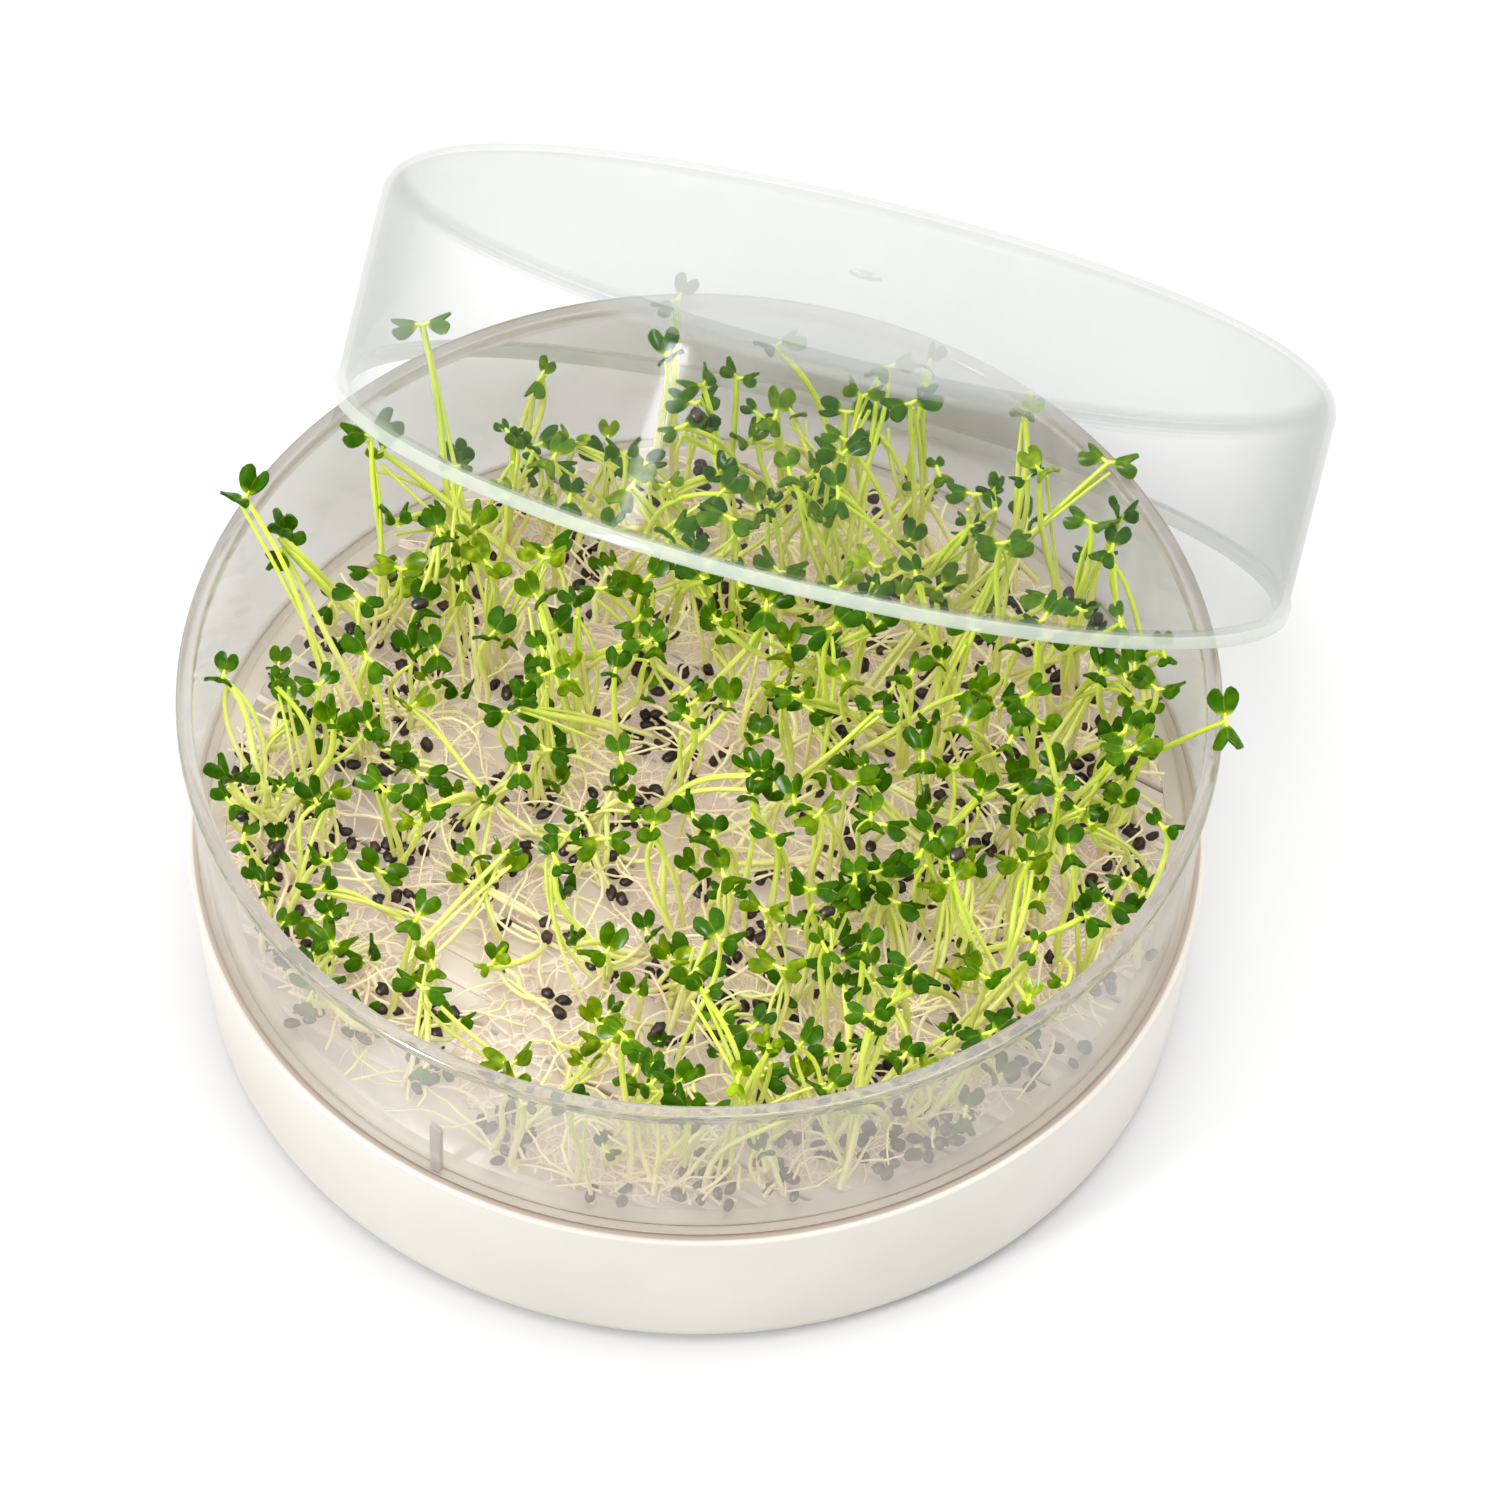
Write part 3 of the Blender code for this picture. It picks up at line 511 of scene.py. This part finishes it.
class Seedling:
    """A stem, its two seed leaves, and the balls that stand for them in spacing."""

    def __init__(self, root, tip, rng, stem_ball=0.66, leaf_ball=0.93, sizes=(0.86, 1.12), steepest=0.95):
        lean = Vector((tip.x - root.x, tip.y - root.y, 0.0))
        low = 0.25 + 0.35 * rng.random()
        self.root, self.tip = root, tip
        self.bend = root + lean * (0.15 + 0.7 * rng.random())
        self.bend.z = root.z + (tip.z - root.z) * (1 - low)
        heading = rng.uniform(0, math.tau)
        self.size = rng.uniform(*sizes)
        self.leaves = []
        for side in (0, 1):
            turn = heading + side * (math.pi + rng.uniform(-0.5, 0.5))
            self.leaves.append(leaf_frame(tip, turn, rng.uniform(0.05, steepest), rng.uniform(-0.35, 0.35)))
        balls = [(*p, stem_ball * MM) for p in stem_path(self.root, self.bend, self.tip, 16)[1:]]
        for leaf in self.leaves:
            for across, along in LEAF_BALLS:
                spot = Vector((across * SOLID_LEAF[0], along * SOLID_LEAF[1], LEAF_CUP * abs(across) * 2))
                balls.append((*(leaf @ (spot * self.size)), leaf_ball * MM))
        self.balls = np.array(balls)


def outside_tray(balls):
    """True if any ball comes too near the tray's wall or rim."""
    radius = np.hypot(balls[:, 0], balls[:, 1]) + balls[:, 3] + WALL_GAP
    low = balls[:, 2] - balls[:, 3] < (TRAY_TOP + RIM_GAP) * MM
    in_wall = low & (radius > wall_radius(balls[:, 2]))
    return bool(in_wall.any() or (radius > FARTHEST).any())


def touches_lid(balls, into_lid):
    """True if any ball comes too near the lid's wall, rim or top."""
    points = np.c_[balls[:, :3], np.ones(len(balls))] @ into_lid.T
    reach = balls[:, 3] + LID_GAP
    out = np.hypot(points[:, 0], points[:, 1])
    height = points[:, 2]
    near_wall = (out + reach > LID_RIM_IN * MM) & (out - reach < LID_RIM_OUT * MM)
    near_wall &= (height + reach > 0) & (height - reach < LID_HEIGHT * MM)
    near_top = (out - reach < LID_RIM_OUT * MM) & (height + reach > (LID_HEIGHT - LID_THICKNESS) * MM)
    near_top &= height - reach < LID_HEIGHT * MM
    return bool((near_wall | near_top).any())


def strays_low(balls, middles):
    """True if any part down among the roots lies outside its own clump's patch of floor."""
    low = balls[balls[:, 2] - balls[:, 3] < FLOOR_TOP * MM + HULL_TOP]
    own = middles[np.argmin(((middles - balls[0, :2]) ** 2).sum(1))]
    for other in middles:
        step = other - own
        apart = math.hypot(*step)
        if apart > 0 and ((low[:, :2] - own) @ step / apart + low[:, 3] - apart / 2 > 0).any():
            return True
    return False


def crowded(balls, taken):
    """True if any ball overlaps one of a seedling that already stands."""
    low, high = balls[:, :3].min(0) - 2 * MM, balls[:, :3].max(0) + 2 * MM
    near = taken[((taken[:, :3] > low) & (taken[:, :3] < high)).all(1)]
    apart = ((near[None, :, :3] - balls[:, None, :3]) ** 2).sum(2)
    return bool((apart < (near[None, :, 3] + balls[:, None, 3]) ** 2).any())


# %% Grow the seedlings
GROUND = (FLOOR_TOP + 1.0) * MM
sites = list(spiral(CLUMPS, ROOT_RADIUS))
middles = np.array([(s.x, s.y) for s in sites])
into_lid = np.array(lid_at.inverted())
grown = []
taken = np.empty((0, 4))


def settle(root, draw_tip, rng, tries, own_patch=True, **balls):
    """Tries tips for one root until the seedling stands clear of everything."""
    global taken
    for _ in range(tries):
        seedling = Seedling(root, draw_tip(), rng, **balls)
        body = seedling.balls
        if outside_tray(body) or touches_lid(body, into_lid) or (own_patch and strays_low(body, middles)):
            continue
        if crowded(body, taken):
            continue
        grown.append(seedling)
        taken = np.concatenate([taken, body])
        return


def grow_over(places, chance, rng, tries, jitter, height, lean, lowest=8.0, **balls):
    """Tries a seedling at each place, with drawn height in mm and lean as a share of it."""
    for place in places:
        if rng.random() > growth(place) * chance:
            continue
        root = Vector((place.x + rng.uniform(-jitter, jitter) * MM,
                       place.y + rng.uniform(-jitter, jitter) * MM, GROUND))

        def draw_tip():
            tall = rng.uniform(*height) + 5.0 * (place.x + place.y) / ROOT_RADIUS
            out = rng.uniform(*lean) * tall
            way = rng.uniform(0, math.tau)
            return root + Vector((out * math.cos(way), out * math.sin(way), max(tall, lowest))) * MM

        settle(root, draw_tip, rng, tries, **balls)


rng = random.Random(SEED)
for rx, ry, tx, ty, tz in STRAYS:
    settle(Vector((rx * MM, ry * MM, GROUND)), lambda: Vector((tx, ty, tz)) * MM, rng, TRIES)
grow_over(spiral(ROOTS, ROOT_RADIUS), 1.0, rng, TRIES, jitter=2, height=(13, 32), lean=(0, 0.6))
solid_count = len(grown)
FINE = {"tries": 24, "stem_ball": 0.4, "leaf_ball": 0.56, "own_patch": False, "sizes": (0.6, 1.0),
        "steepest": 1.35}
EDGE_ROW = 40                          # places along the front left of the wall, where more came up
more = [p + Vector((1.3, -0.9, 0)) * MM for p in spiral(230, 66.5 * MM)]
lying = [p + Vector((-1.1, 0.7, 0)) * MM for p in spiral(90, 62 * MM)]
row = [towards(math.radians(-185 + 125 * i / EDGE_ROW)) * 63 * MM for i in range(EDGE_ROW)]
grow_over(more, 1.0, random.Random(SEED + 7), jitter=2, height=(10, 30), lean=(0, 1.0), **FINE)
grow_over(lying, 0.8, random.Random(SEED + 8), jitter=3, height=(4, 9), lean=(1.2, 2.8), lowest=4.0,
          **FINE)
grow_over(row, 1.3, random.Random(SEED + 9), jitter=4, height=(14, 32), lean=(0, 0.8), **FINE)
print("seedlings:", solid_count, "as in the solid model,", len(grown), "in all")

# %% [markdown]
# ## Seed leaves
# Each seedling has two seed leaves, wide and short with a notch at the tip, as all of the
# cabbage family have. A square grid is drawn out to that outline by a formula, cupped and
# curled, and given its thickness. A few such blades are the patterns for all the others.

# %% Leaf green
leaf_green, tree, shader = finish("fresh seed leaf", Roughness=0.28, Specular_IOR_Level=0.08, IOR=1.42)
blade = add(tree, "ShaderNodeAttribute", attribute_name="blade", attribute_type="GEOMETRY")
parts = add(tree, "ShaderNodeSeparateXYZ", {"Vector": blade.outputs["Vector"]}).outputs
place = add(tree, "ShaderNodeTexCoord").outputs["Object"]
mottle = add(tree, "ShaderNodeTexNoise", {"Vector": place, "Scale": 700.0, "Detail": 2.0}).outputs["Fac"]
tone = add(tree, "ShaderNodeMath", {0: parts["Z"], 1: mottle}, operation="ADD").outputs[0]
tone = between(tree, tone, (0.3, 1.6))
green = ramp(tree, tone, (0.0, "#1E3E00"), (0.35, "#2D5600"), (0.6, "#426600"), (0.8, "#647A04"),
             (1.0, "#90A814"))
rib = add(tree, "ShaderNodeMath", {0: parts["X"]}, operation="ABSOLUTE").outputs[0]
rib = between(tree, rib, (0.0, 0.08), (0.22, 0.0))
base = between(tree, parts["Y"], (0.0, 0.22), (0.85, 0.0))
pale = add(tree, "ShaderNodeMath", {0: rib, 1: base}, operation="MAXIMUM").outputs[0]
mixed = add(tree, "ShaderNodeMix", {"Factor": pale}, data_type="RGBA")
feed(tree, mixed, A=green)
mixed.inputs["B"].default_value = linear("#A0B824")
feed(tree, shader, Base_Color=mixed.outputs["Result"])
print(leaf_green.name)

# %% Leaf patterns
LEAF_WIDTH, LEAF_LENGTH, LEAF_THICKNESS = 5.3 * MM, 4.0 * MM, 0.4 * MM
NOTCH = 0.42                           # depth of the notch, as a share of the length
BENDS = (                              # fold up along the rib, droop of the lobes, curl of the tip
    (0.25, 0.7, 0.25), (0.45, 0.8, 0.4), (0.6, 0.6, -0.1), (0.15, 0.9, 0.45),
    (0.4, 0.5, -0.3), (0.9, 0.5, 0.2), (0.1, 0.6, 0.2),
)


def leaf_pattern(fold, droop, curl):
    """One notched blade, drawn out of a square grid."""
    sheet = bmesh.new()
    blade_at = sheet.verts.layers.float_vector.new("blade")
    bmesh.ops.create_grid(sheet, x_segments=6, y_segments=4, size=1.0)
    for v in sheet.verts:
        x, y = on_disc(v.co)
        along = 0.5 + 0.5 * y
        v[blade_at] = (x, along, 0.0)
        wide = x * LEAF_WIDTH / 2 * (0.6 + 0.42 * along) / max(1.0, 0.75 + 0.45 * fold)
        notch = NOTCH * math.exp(-(x / 0.22) ** 2) * along ** 3
        rise = (fold * abs(x) - droop * x * x) * LEAF_WIDTH / 2 - curl * (along - 0.2) ** 2 * LEAF_LENGTH
        v.co = Vector((wide, (along - notch) * LEAF_LENGTH, rise))
    face_up(sheet)
    bmesh.ops.solidify(sheet, geom=sheet.faces[:], thickness=LEAF_THICKNESS)
    return sheet


patterns = [leaf_pattern(*bends) for bends in BENDS]
rng = random.Random(SEED + 2)
all_leaves = bmesh.new()
scrap = bpy.data.meshes.new("scrap")
PETIOLE = 0.7 * MM
for seedling in grown:
    young = rng.random() ** 1.6
    for leaf in seedling.leaves:
        sheet = rng.choice(patterns).copy()
        blade_at = sheet.verts.layers.float_vector["blade"]
        shade = young * 0.75 + rng.uniform(0, 0.25)
        for v in sheet.verts:
            v[blade_at].z = shade
        size = seedling.size * rng.uniform(0.88, 1.06)
        place = leaf @ Matrix.Translation((0, PETIOLE, 0)) @ Matrix.Scale(size, 4)
        bmesh.ops.transform(sheet, matrix=place, verts=sheet.verts)
        sheet.to_mesh(scrap)
        sheet.free()
        all_leaves.from_mesh(scrap)
leaves = make_piece("seed_leaves", all_leaves, leaf_green, smooth=60)
set_down(leaves, "leaf", *CLUMP_NODES)

# %% [markdown]
# ## Stems
# The stems are pale and juicy, yellow-green on top and cream near the roots. Many thin bent
# tubes of changing width are easiest as one curve object with a round bevel, made a mesh at
# the end. Each leaf hangs on by a short stalk.

# %% Stem finish and curves
stem_pale, tree, shader = finish("juicy pale stem", Roughness=0.3, Specular_IOR_Level=0.25, IOR=1.4)
place = add(tree, "ShaderNodeTexCoord").outputs["Object"]
height = add(tree, "ShaderNodeSeparateXYZ", {"Vector": place}).outputs["Z"]
blush = add(tree, "ShaderNodeTexNoise", {"Vector": place, "Scale": 120.0, "Detail": 2.0}).outputs["Fac"]
rise = between(tree, height, (30 * MM, 56 * MM))
rise = add(tree, "ShaderNodeMath", {0: rise, 1: blush}, operation="ADD").outputs[0]
rise = between(tree, rise, (0.3, 1.5))
feed(tree, shader, Base_Color=ramp(tree, rise, (0.0, "#F6E9D2"), (0.2, "#F3EEB4"), (0.5, "#E4E87E"),
                                   (1.0, "#C8DA48")))


def strands(name, paths, material, sides):
    """One mesh of round tapering strands: paths are lists of (point, radius in mm)."""
    curve = bpy.data.curves.new(name, "CURVE")
    curve.dimensions = "3D"
    curve.bevel_depth = MM
    curve.bevel_resolution = (sides - 4) // 2
    curve.use_fill_caps = True
    for path in paths:
        spline = curve.splines.new("POLY")
        spline.points.add(len(path) - 1)
        for point, (spot, radius) in zip(spline.points, path):
            point.co = (*spot, 1.0)
            point.radius = radius
    holder = bpy.data.objects.new(name + "_curve", curve)
    scene.collection.objects.link(holder)
    bpy.context.view_layer.update()
    mesh = bpy.data.meshes.new_from_object(holder.evaluated_get(bpy.context.evaluated_depsgraph_get()))
    bpy.data.objects.remove(holder)
    mesh.name = name
    mesh.materials.clear()
    mesh.materials.append(material)
    mesh.shade_smooth()
    piece = bpy.data.objects.new(name, mesh)
    scene.collection.objects.link(piece)
    return piece


COMPANIONS = (0, 1, 2, 2)              # thinner stems that climb with a seedling, by chance
STEM_STEPS, COMPANION_STEPS = 10, 9
paths = []
for seedling in grown:
    thick = rng.uniform(0.38, 0.54)
    sway = Vector((rng.uniform(-1.1, 1.1), rng.uniform(-1.1, 1.1), 0.0)) * MM
    foot = seedling.root - Vector((0, 0, 0.4 * MM))
    path = []
    for i, point in enumerate(stem_path(foot, seedling.bend, seedling.tip, STEM_STEPS)):
        share = i / STEM_STEPS
        path.append((point + sway * math.sin(math.tau * share), thick * (1.2 - 0.35 * share)))
    paths.append(path)
    for _ in range(rng.choice(COMPANIONS)):
        foot = seedling.root + Vector((rng.gauss(0, 2.2), rng.gauss(0, 2.2), -0.4)) * MM
        top = seedling.tip + Vector((rng.gauss(0, 0.8), rng.gauss(0, 0.8), -rng.uniform(0.3, 2.5))) * MM
        bent = seedling.bend + Vector((rng.gauss(0, 3.0), rng.gauss(0, 3.0), 0.0)) * MM
        points = stem_path(foot, bent, top, COMPANION_STEPS)
        balls = np.array([(*point, 0.45 * MM) for point in points])
        if not outside_tray(balls) and not touches_lid(balls, into_lid):
            slim = rng.uniform(0.28, 0.46)
            paths.append([(point, slim * (1.15 - 0.4 * i / COMPANION_STEPS))
                          for i, point in enumerate(points)])
    for leaf in seedling.leaves:
        base = leaf @ Vector((0, PETIOLE + 0.5 * MM, 0.0))
        middle = seedling.tip.lerp(base, 0.5) + Vector((0, 0, 0.05 * MM))
        paths.append([(seedling.tip, 0.36), (middle, 0.3), (base, 0.2)])
stems = strands("stems", paths, stem_pale, 6)
set_down(stems, "stem")

# %% [markdown]
# ## Roots and hulls
# The roots felt together into pale pads full of fine hairs, which creep out over the
# floor. The dark hulls that the seedlings have thrown off lie in them, a few still caught
# on the leaves. The pads are low cushions, and the hairs are thin strands lying on them.

# %% Root pads
# the pads share the floor's painted glow, which lifts their shade
root_felt, tree, shader = finish("root felt", Roughness=0.8, **PAINTED_GLOW)
place = add(tree, "ShaderNodeTexCoord").outputs["Object"]
felt = {"Vector": place, "Scale": 350.0, "Detail": 2.0, "Distortion": 1.5}
felt = add(tree, "ShaderNodeTexNoise", felt).outputs["Fac"]
bump = add(tree, "ShaderNodeBump", {"Height": felt, "Strength": 0.8, "Distance": 0.4 * MM})
web = add(tree, "ShaderNodeTexVoronoi", {"Vector": place, "Scale": 420.0, "Randomness": 1.0},
          feature="DISTANCE_TO_EDGE")
feed(tree, shader, Normal=bump.outputs["Normal"],
     Alpha=between(tree, web.outputs["Distance"], (0.04, 0.12), (0.95, 0.2)),
     Base_Color=ramp(tree, felt, (0.3, "#AC9886"), (0.5, "#C6B8AA"), (0.7, "#D6CEC4")))


EDGE_GAP = 0.4 * MM                    # between a pad and the fillet at the foot of the wall
FILLET = 2.6 * MM


def mat_reach(site, heading):
    """How far a clump's root pad may spread one way before its neighbour's or the wall."""
    way = towards(heading)
    along = site.dot(way)
    edge = wall_radius(FLOOR_TOP * MM) - FILLET - EDGE_GAP
    reach = -along + math.sqrt(along ** 2 - site.length_squared + edge ** 2)
    for other in sites:
        step = other - site
        ahead = step.normalized().dot(way) if step.length > 0 else 0
        if ahead > 1e-3:
            reach = min(reach, (step.length / 2 - MAT_GAP / 2) / ahead)
    return reach


PAD_SPREAD = 0.86                      # the felt stays a little inside the solid mat
PAD_FOOT, PAD_EDGE = 0.38, 0.55        # its underside and its edge above the floor


def pad(site, roots, rng):
    """A low cushion round a clump's own roots, with a ragged edge."""
    rim = []
    for i in range(MAT_SIDES):
        heading = math.tau * i / MAT_SIDES
        way = towards(heading)
        wanted = max([way.dot(root - site) for root in roots] + [0.0]) + rng.uniform(2.2, 3.6) * MM
        rim.append(min(wanted, mat_reach(site, heading)))
    cushion = bmesh.new()
    bmesh.ops.create_grid(cushion, x_segments=16, y_segments=16, size=1.0)
    for v in cushion.verts:
        x, y = on_disc(v.co)
        share = math.hypot(x, y)
        turn = math.atan2(y, x) % math.tau / math.tau * MAT_SIDES
        low, part = int(turn), turn % 1
        reach = (rim[low % MAT_SIDES] * (1 - part) + rim[(low + 1) % MAT_SIDES] * part) * PAD_SPREAD
        spot = site + Vector((x, y, 0.0)) * reach
        lumps = noise.noise(spot * 260) * 0.5 + noise.noise(spot * 700) * 0.3
        ragged = 1 + 0.06 * noise.noise(spot * 500) * share
        v.co = site + Vector((x, y, 0.0)) * reach * 0.97 * ragged
        v.co.z = (FLOOR_TOP + PAD_EDGE + max(0.0, 1 - share ** 3) * (0.3 + 0.8 * lumps)) * MM
    face_up(cushion)
    under = bmesh.ops.extrude_face_region(cushion, geom=cushion.faces[:], use_keep_orig=True)
    low = [part for part in under["geom"] if isinstance(part, bmesh.types.BMVert)]
    for v in low:
        v.co.z = (FLOOR_TOP + PAD_FOOT) * MM
    bmesh.ops.recalc_face_normals(cushion, faces=cushion.faces)
    return cushion


rng = random.Random(SEED + 1)
felt_mesh = bmesh.new()
owners = [min(range(CLUMPS), key=lambda i: (sites[i] - flat(s.root)).length) for s in grown]
for number, site in enumerate(sites):
    own = [flat(s.root) for s, owner in zip(grown, owners) if owner == number]
    if own:
        cushion = pad(site, own, rng)
        cushion.to_mesh(scrap)
        cushion.free()
        felt_mesh.from_mesh(scrap)
pads = make_piece("root_pads", felt_mesh, root_felt, smooth=60)
set_down(pads, "root")

# %% Root hairs
# the hairs share the floor's painted glow, which lifts their shade
hair_white, tree, shader = finish("root hairs", Roughness=0.5, **PAINTED_GLOW)
place = add(tree, "ShaderNodeTexCoord").outputs["Object"]
stain = add(tree, "ShaderNodeTexNoise", {"Vector": place, "Scale": 90.0, "Detail": 2.0}).outputs["Fac"]
feed(tree, shader, Base_Color=ramp(tree, stain, (0.35, "#CDB69C"), (0.5, "#DCD0A2"), (0.65, "#D8D888")))
HAIR_LIMIT = 69.0                      # radius at which a strand stops short of the wall


def creeping(start, steps, stride, thick, lift):
    """A strand that wanders over the floor from a start, as (point, radius in mm) pairs."""
    heading = rng.uniform(0, math.tau)
    turn = rng.uniform(-0.35, 0.35)
    spot = Vector((start.x, start.y, (FLOOR_TOP + 1.0) * MM))
    path = []
    for step in range(steps):
        spot.z = (FLOOR_TOP + thick + 0.3 + lift * math.sin(math.pi * (step + 0.5) / steps)) * MM
        path.append((spot.copy(), thick * (1 - 0.5 * step / steps)))
        heading += turn + rng.uniform(-0.4, 0.4)
        spot = spot + towards(heading) * rng.uniform(0.7, 1.3) * stride * MM
        if flat(spot).length > HAIR_LIMIT * MM:
            break
    return path


paths = []
for seedling in grown:
    for _ in range(rng.randint(1, 3)):
        fine = creeping(seedling.root, steps=6, stride=1.8, thick=0.09, lift=rng.uniform(0.2, 1.6))
        paths.append(fine)
    for _ in range(rng.randint(1, 3)):
        thick = rng.uniform(0.22, 0.38)
        coarse = creeping(seedling.root, steps=9, stride=2.0, thick=thick, lift=rng.uniform(0.6, 6.0))
        paths.append(coarse)
hairs = strands("root_hairs", [path for path in paths if len(path) > 2], hair_white, 4)
set_down(hairs, "root")

# %% Seed hulls
hull_brown, tree, shader = finish("dry seed hull", Roughness=0.45, IOR=1.45)
place = add(tree, "ShaderNodeTexCoord").outputs["Object"]
pitted = add(tree, "ShaderNodeTexNoise", {"Vector": place, "Scale": 500.0, "Detail": 2.0}).outputs["Fac"]
bump = add(tree, "ShaderNodeBump", {"Height": pitted, "Strength": 0.6, "Distance": 0.15 * MM})
feed(tree, shader, Normal=bump.outputs["Normal"],
     Base_Color=ramp(tree, pitted, (0.35, "#150C0C"), (0.55, "#2B1816"), (0.75, "#5A3A2A")))

hulls_mesh = bmesh.new()


def drop_hull(spot, rng):
    """Adds one dented hull at a spot, round or long."""
    one = bmesh.new()
    bmesh.ops.create_icosphere(one, subdivisions=2, radius=1.0)
    shift = Vector((rng.random(), rng.random(), rng.random())) * 10
    for v in one.verts:
        v.co *= 1 + 0.34 * noise.noise(v.co * 1.3 + shift)
    turn = Matrix.Rotation(rng.uniform(0, math.tau), 4, "Z")
    turn = turn @ Matrix.Rotation(rng.uniform(-0.7, 0.7), 4, "X")
    size = rng.uniform(0.95, 1.3)
    wide, thick = rng.uniform(0.65, 0.9) * size, rng.uniform(0.55, 0.85) * size
    shape = Matrix.Diagonal((1.05 * size, wide, thick, 1.0 / MM)) * MM
    bmesh.ops.transform(one, matrix=Matrix.Translation(spot) @ turn @ shape, verts=one.verts)
    one.to_mesh(scrap)
    one.free()
    hulls_mesh.from_mesh(scrap)


FRONT_HEAPS = 10                       # heaps of hulls that washed up along the front of the wall
HULL_LIMIT, HULL_APART = 70.2, 1.9     # farthest out and nearest to each other
HEAP_CHANCE, HEAP_SPREAD = 0.6, 1.4
CAUGHT = 12                            # hulls that are still on a leaf
dropped = []


def drop_heap(middle, count):
    """Drops some hulls close together, clear of each other and of the wall."""
    for _ in range(count * 8):
        spot = middle + Vector((rng.gauss(0, HEAP_SPREAD), rng.gauss(0, HEAP_SPREAD), 0)) * MM
        spot.z = (FLOOR_TOP + rng.uniform(1.3, 3.2)) * MM
        clear = all((spot - other).length > HULL_APART * MM for other in dropped)
        if clear and flat(spot).length < HULL_LIMIT * MM:
            drop_hull(spot, rng)
            dropped.append(spot)
            count -= 1
        if count == 0:
            return


for seedling in grown:
    if rng.random() < HEAP_CHANCE:
        beside = Vector((rng.gauss(0, 1.5), rng.gauss(0, 1.5), 0)) * MM
        drop_heap(seedling.root + beside, rng.choice((1, 3, 4, 5)))
for _ in range(FRONT_HEAPS):
    heading = math.radians(rng.uniform(-125, -35))
    drop_heap(towards(heading) * rng.uniform(65, 70) * MM, rng.choice((2, 4, 6)))
for index in rng.sample(range(len(grown)), CAUGHT):
    drop_hull(grown[index].leaves[0] @ (Vector((0.3, 2.6, 1.1)) * MM), rng)
hulls = make_piece("seed_hulls", hulls_mesh, hull_brown, smooth=80)
set_down(hulls, "hull")
print("hulls:", len(dropped) + CAUGHT)

# %% [markdown]
# ## Table and light
# The object stands on plain white in bright, even light. A broad lamp overhead and a window
# to the left give soft shading, and a narrow gleam in it draws the streak on the lid's wall.

# %% Table
table = bpy.data.objects.new("table", bpy.data.meshes.new("table"))
sheet = bmesh.new()
bmesh.ops.create_grid(sheet, x_segments=1, y_segments=1, size=3.0)
sheet.to_mesh(table.data)
sheet.free()
table.data.materials.append(finish("white table", Roughness=0.9, Base_Color=linear("#C6C6C6"))[0])
scene.collection.objects.link(table)

# %% Light
SKY = 0.75                             # strength of the light at the horizon
SKY_SLOPE = (0.0, 0.3, 1.6)            # a little brighter from behind and much brighter from above
world = bpy.data.worlds.new("studio")
world.use_nodes = True
tree = world.node_tree
way = add(tree, "ShaderNodeTexCoord")
slope = add(tree, "ShaderNodeVectorMath", {0: way.outputs["Generated"], 1: SKY_SLOPE}, operation="DOT_PRODUCT")
sky = add(tree, "ShaderNodeMath", {0: slope.outputs["Value"], 1: SKY}, operation="ADD").outputs[0]
feed(tree, tree.nodes["Background"], Strength=sky)
tree.nodes["Background"].inputs["Color"].default_value = linear("#FFFFFF")
scene.world = world


def lamp(name, spot, aim, size, power):
    light = bpy.data.lights.new(name, "AREA")
    light.shape = "RECTANGLE"
    light.size, light.size_y = size
    light.energy = power
    holder = bpy.data.objects.new(name, light)
    holder.location = spot
    holder.rotation_euler = (Vector(aim) - Vector(spot)).to_track_quat("-Z", "Y").to_euler()
    scene.collection.objects.link(holder)
    return holder


WINDOW, WINDOW_AIM = (-0.97, -0.79, 0.65), (0.0, 0.03, 0.08)
lamp("overhead", (0.25, -0.1, 1.1), (0, 0, 0.04), size=(0.6, 0.6), power=4)
lamp("left window", WINDOW, WINDOW_AIM, size=(0.2, 0.6), power=8)
gleam = lamp("gleam", WINDOW, WINDOW_AIM, size=(0.12, 0.5), power=60)
gleam.visible_diffuse = False          # it only shows as a streak in glossy things
scene.view_settings.view_transform = "Standard"
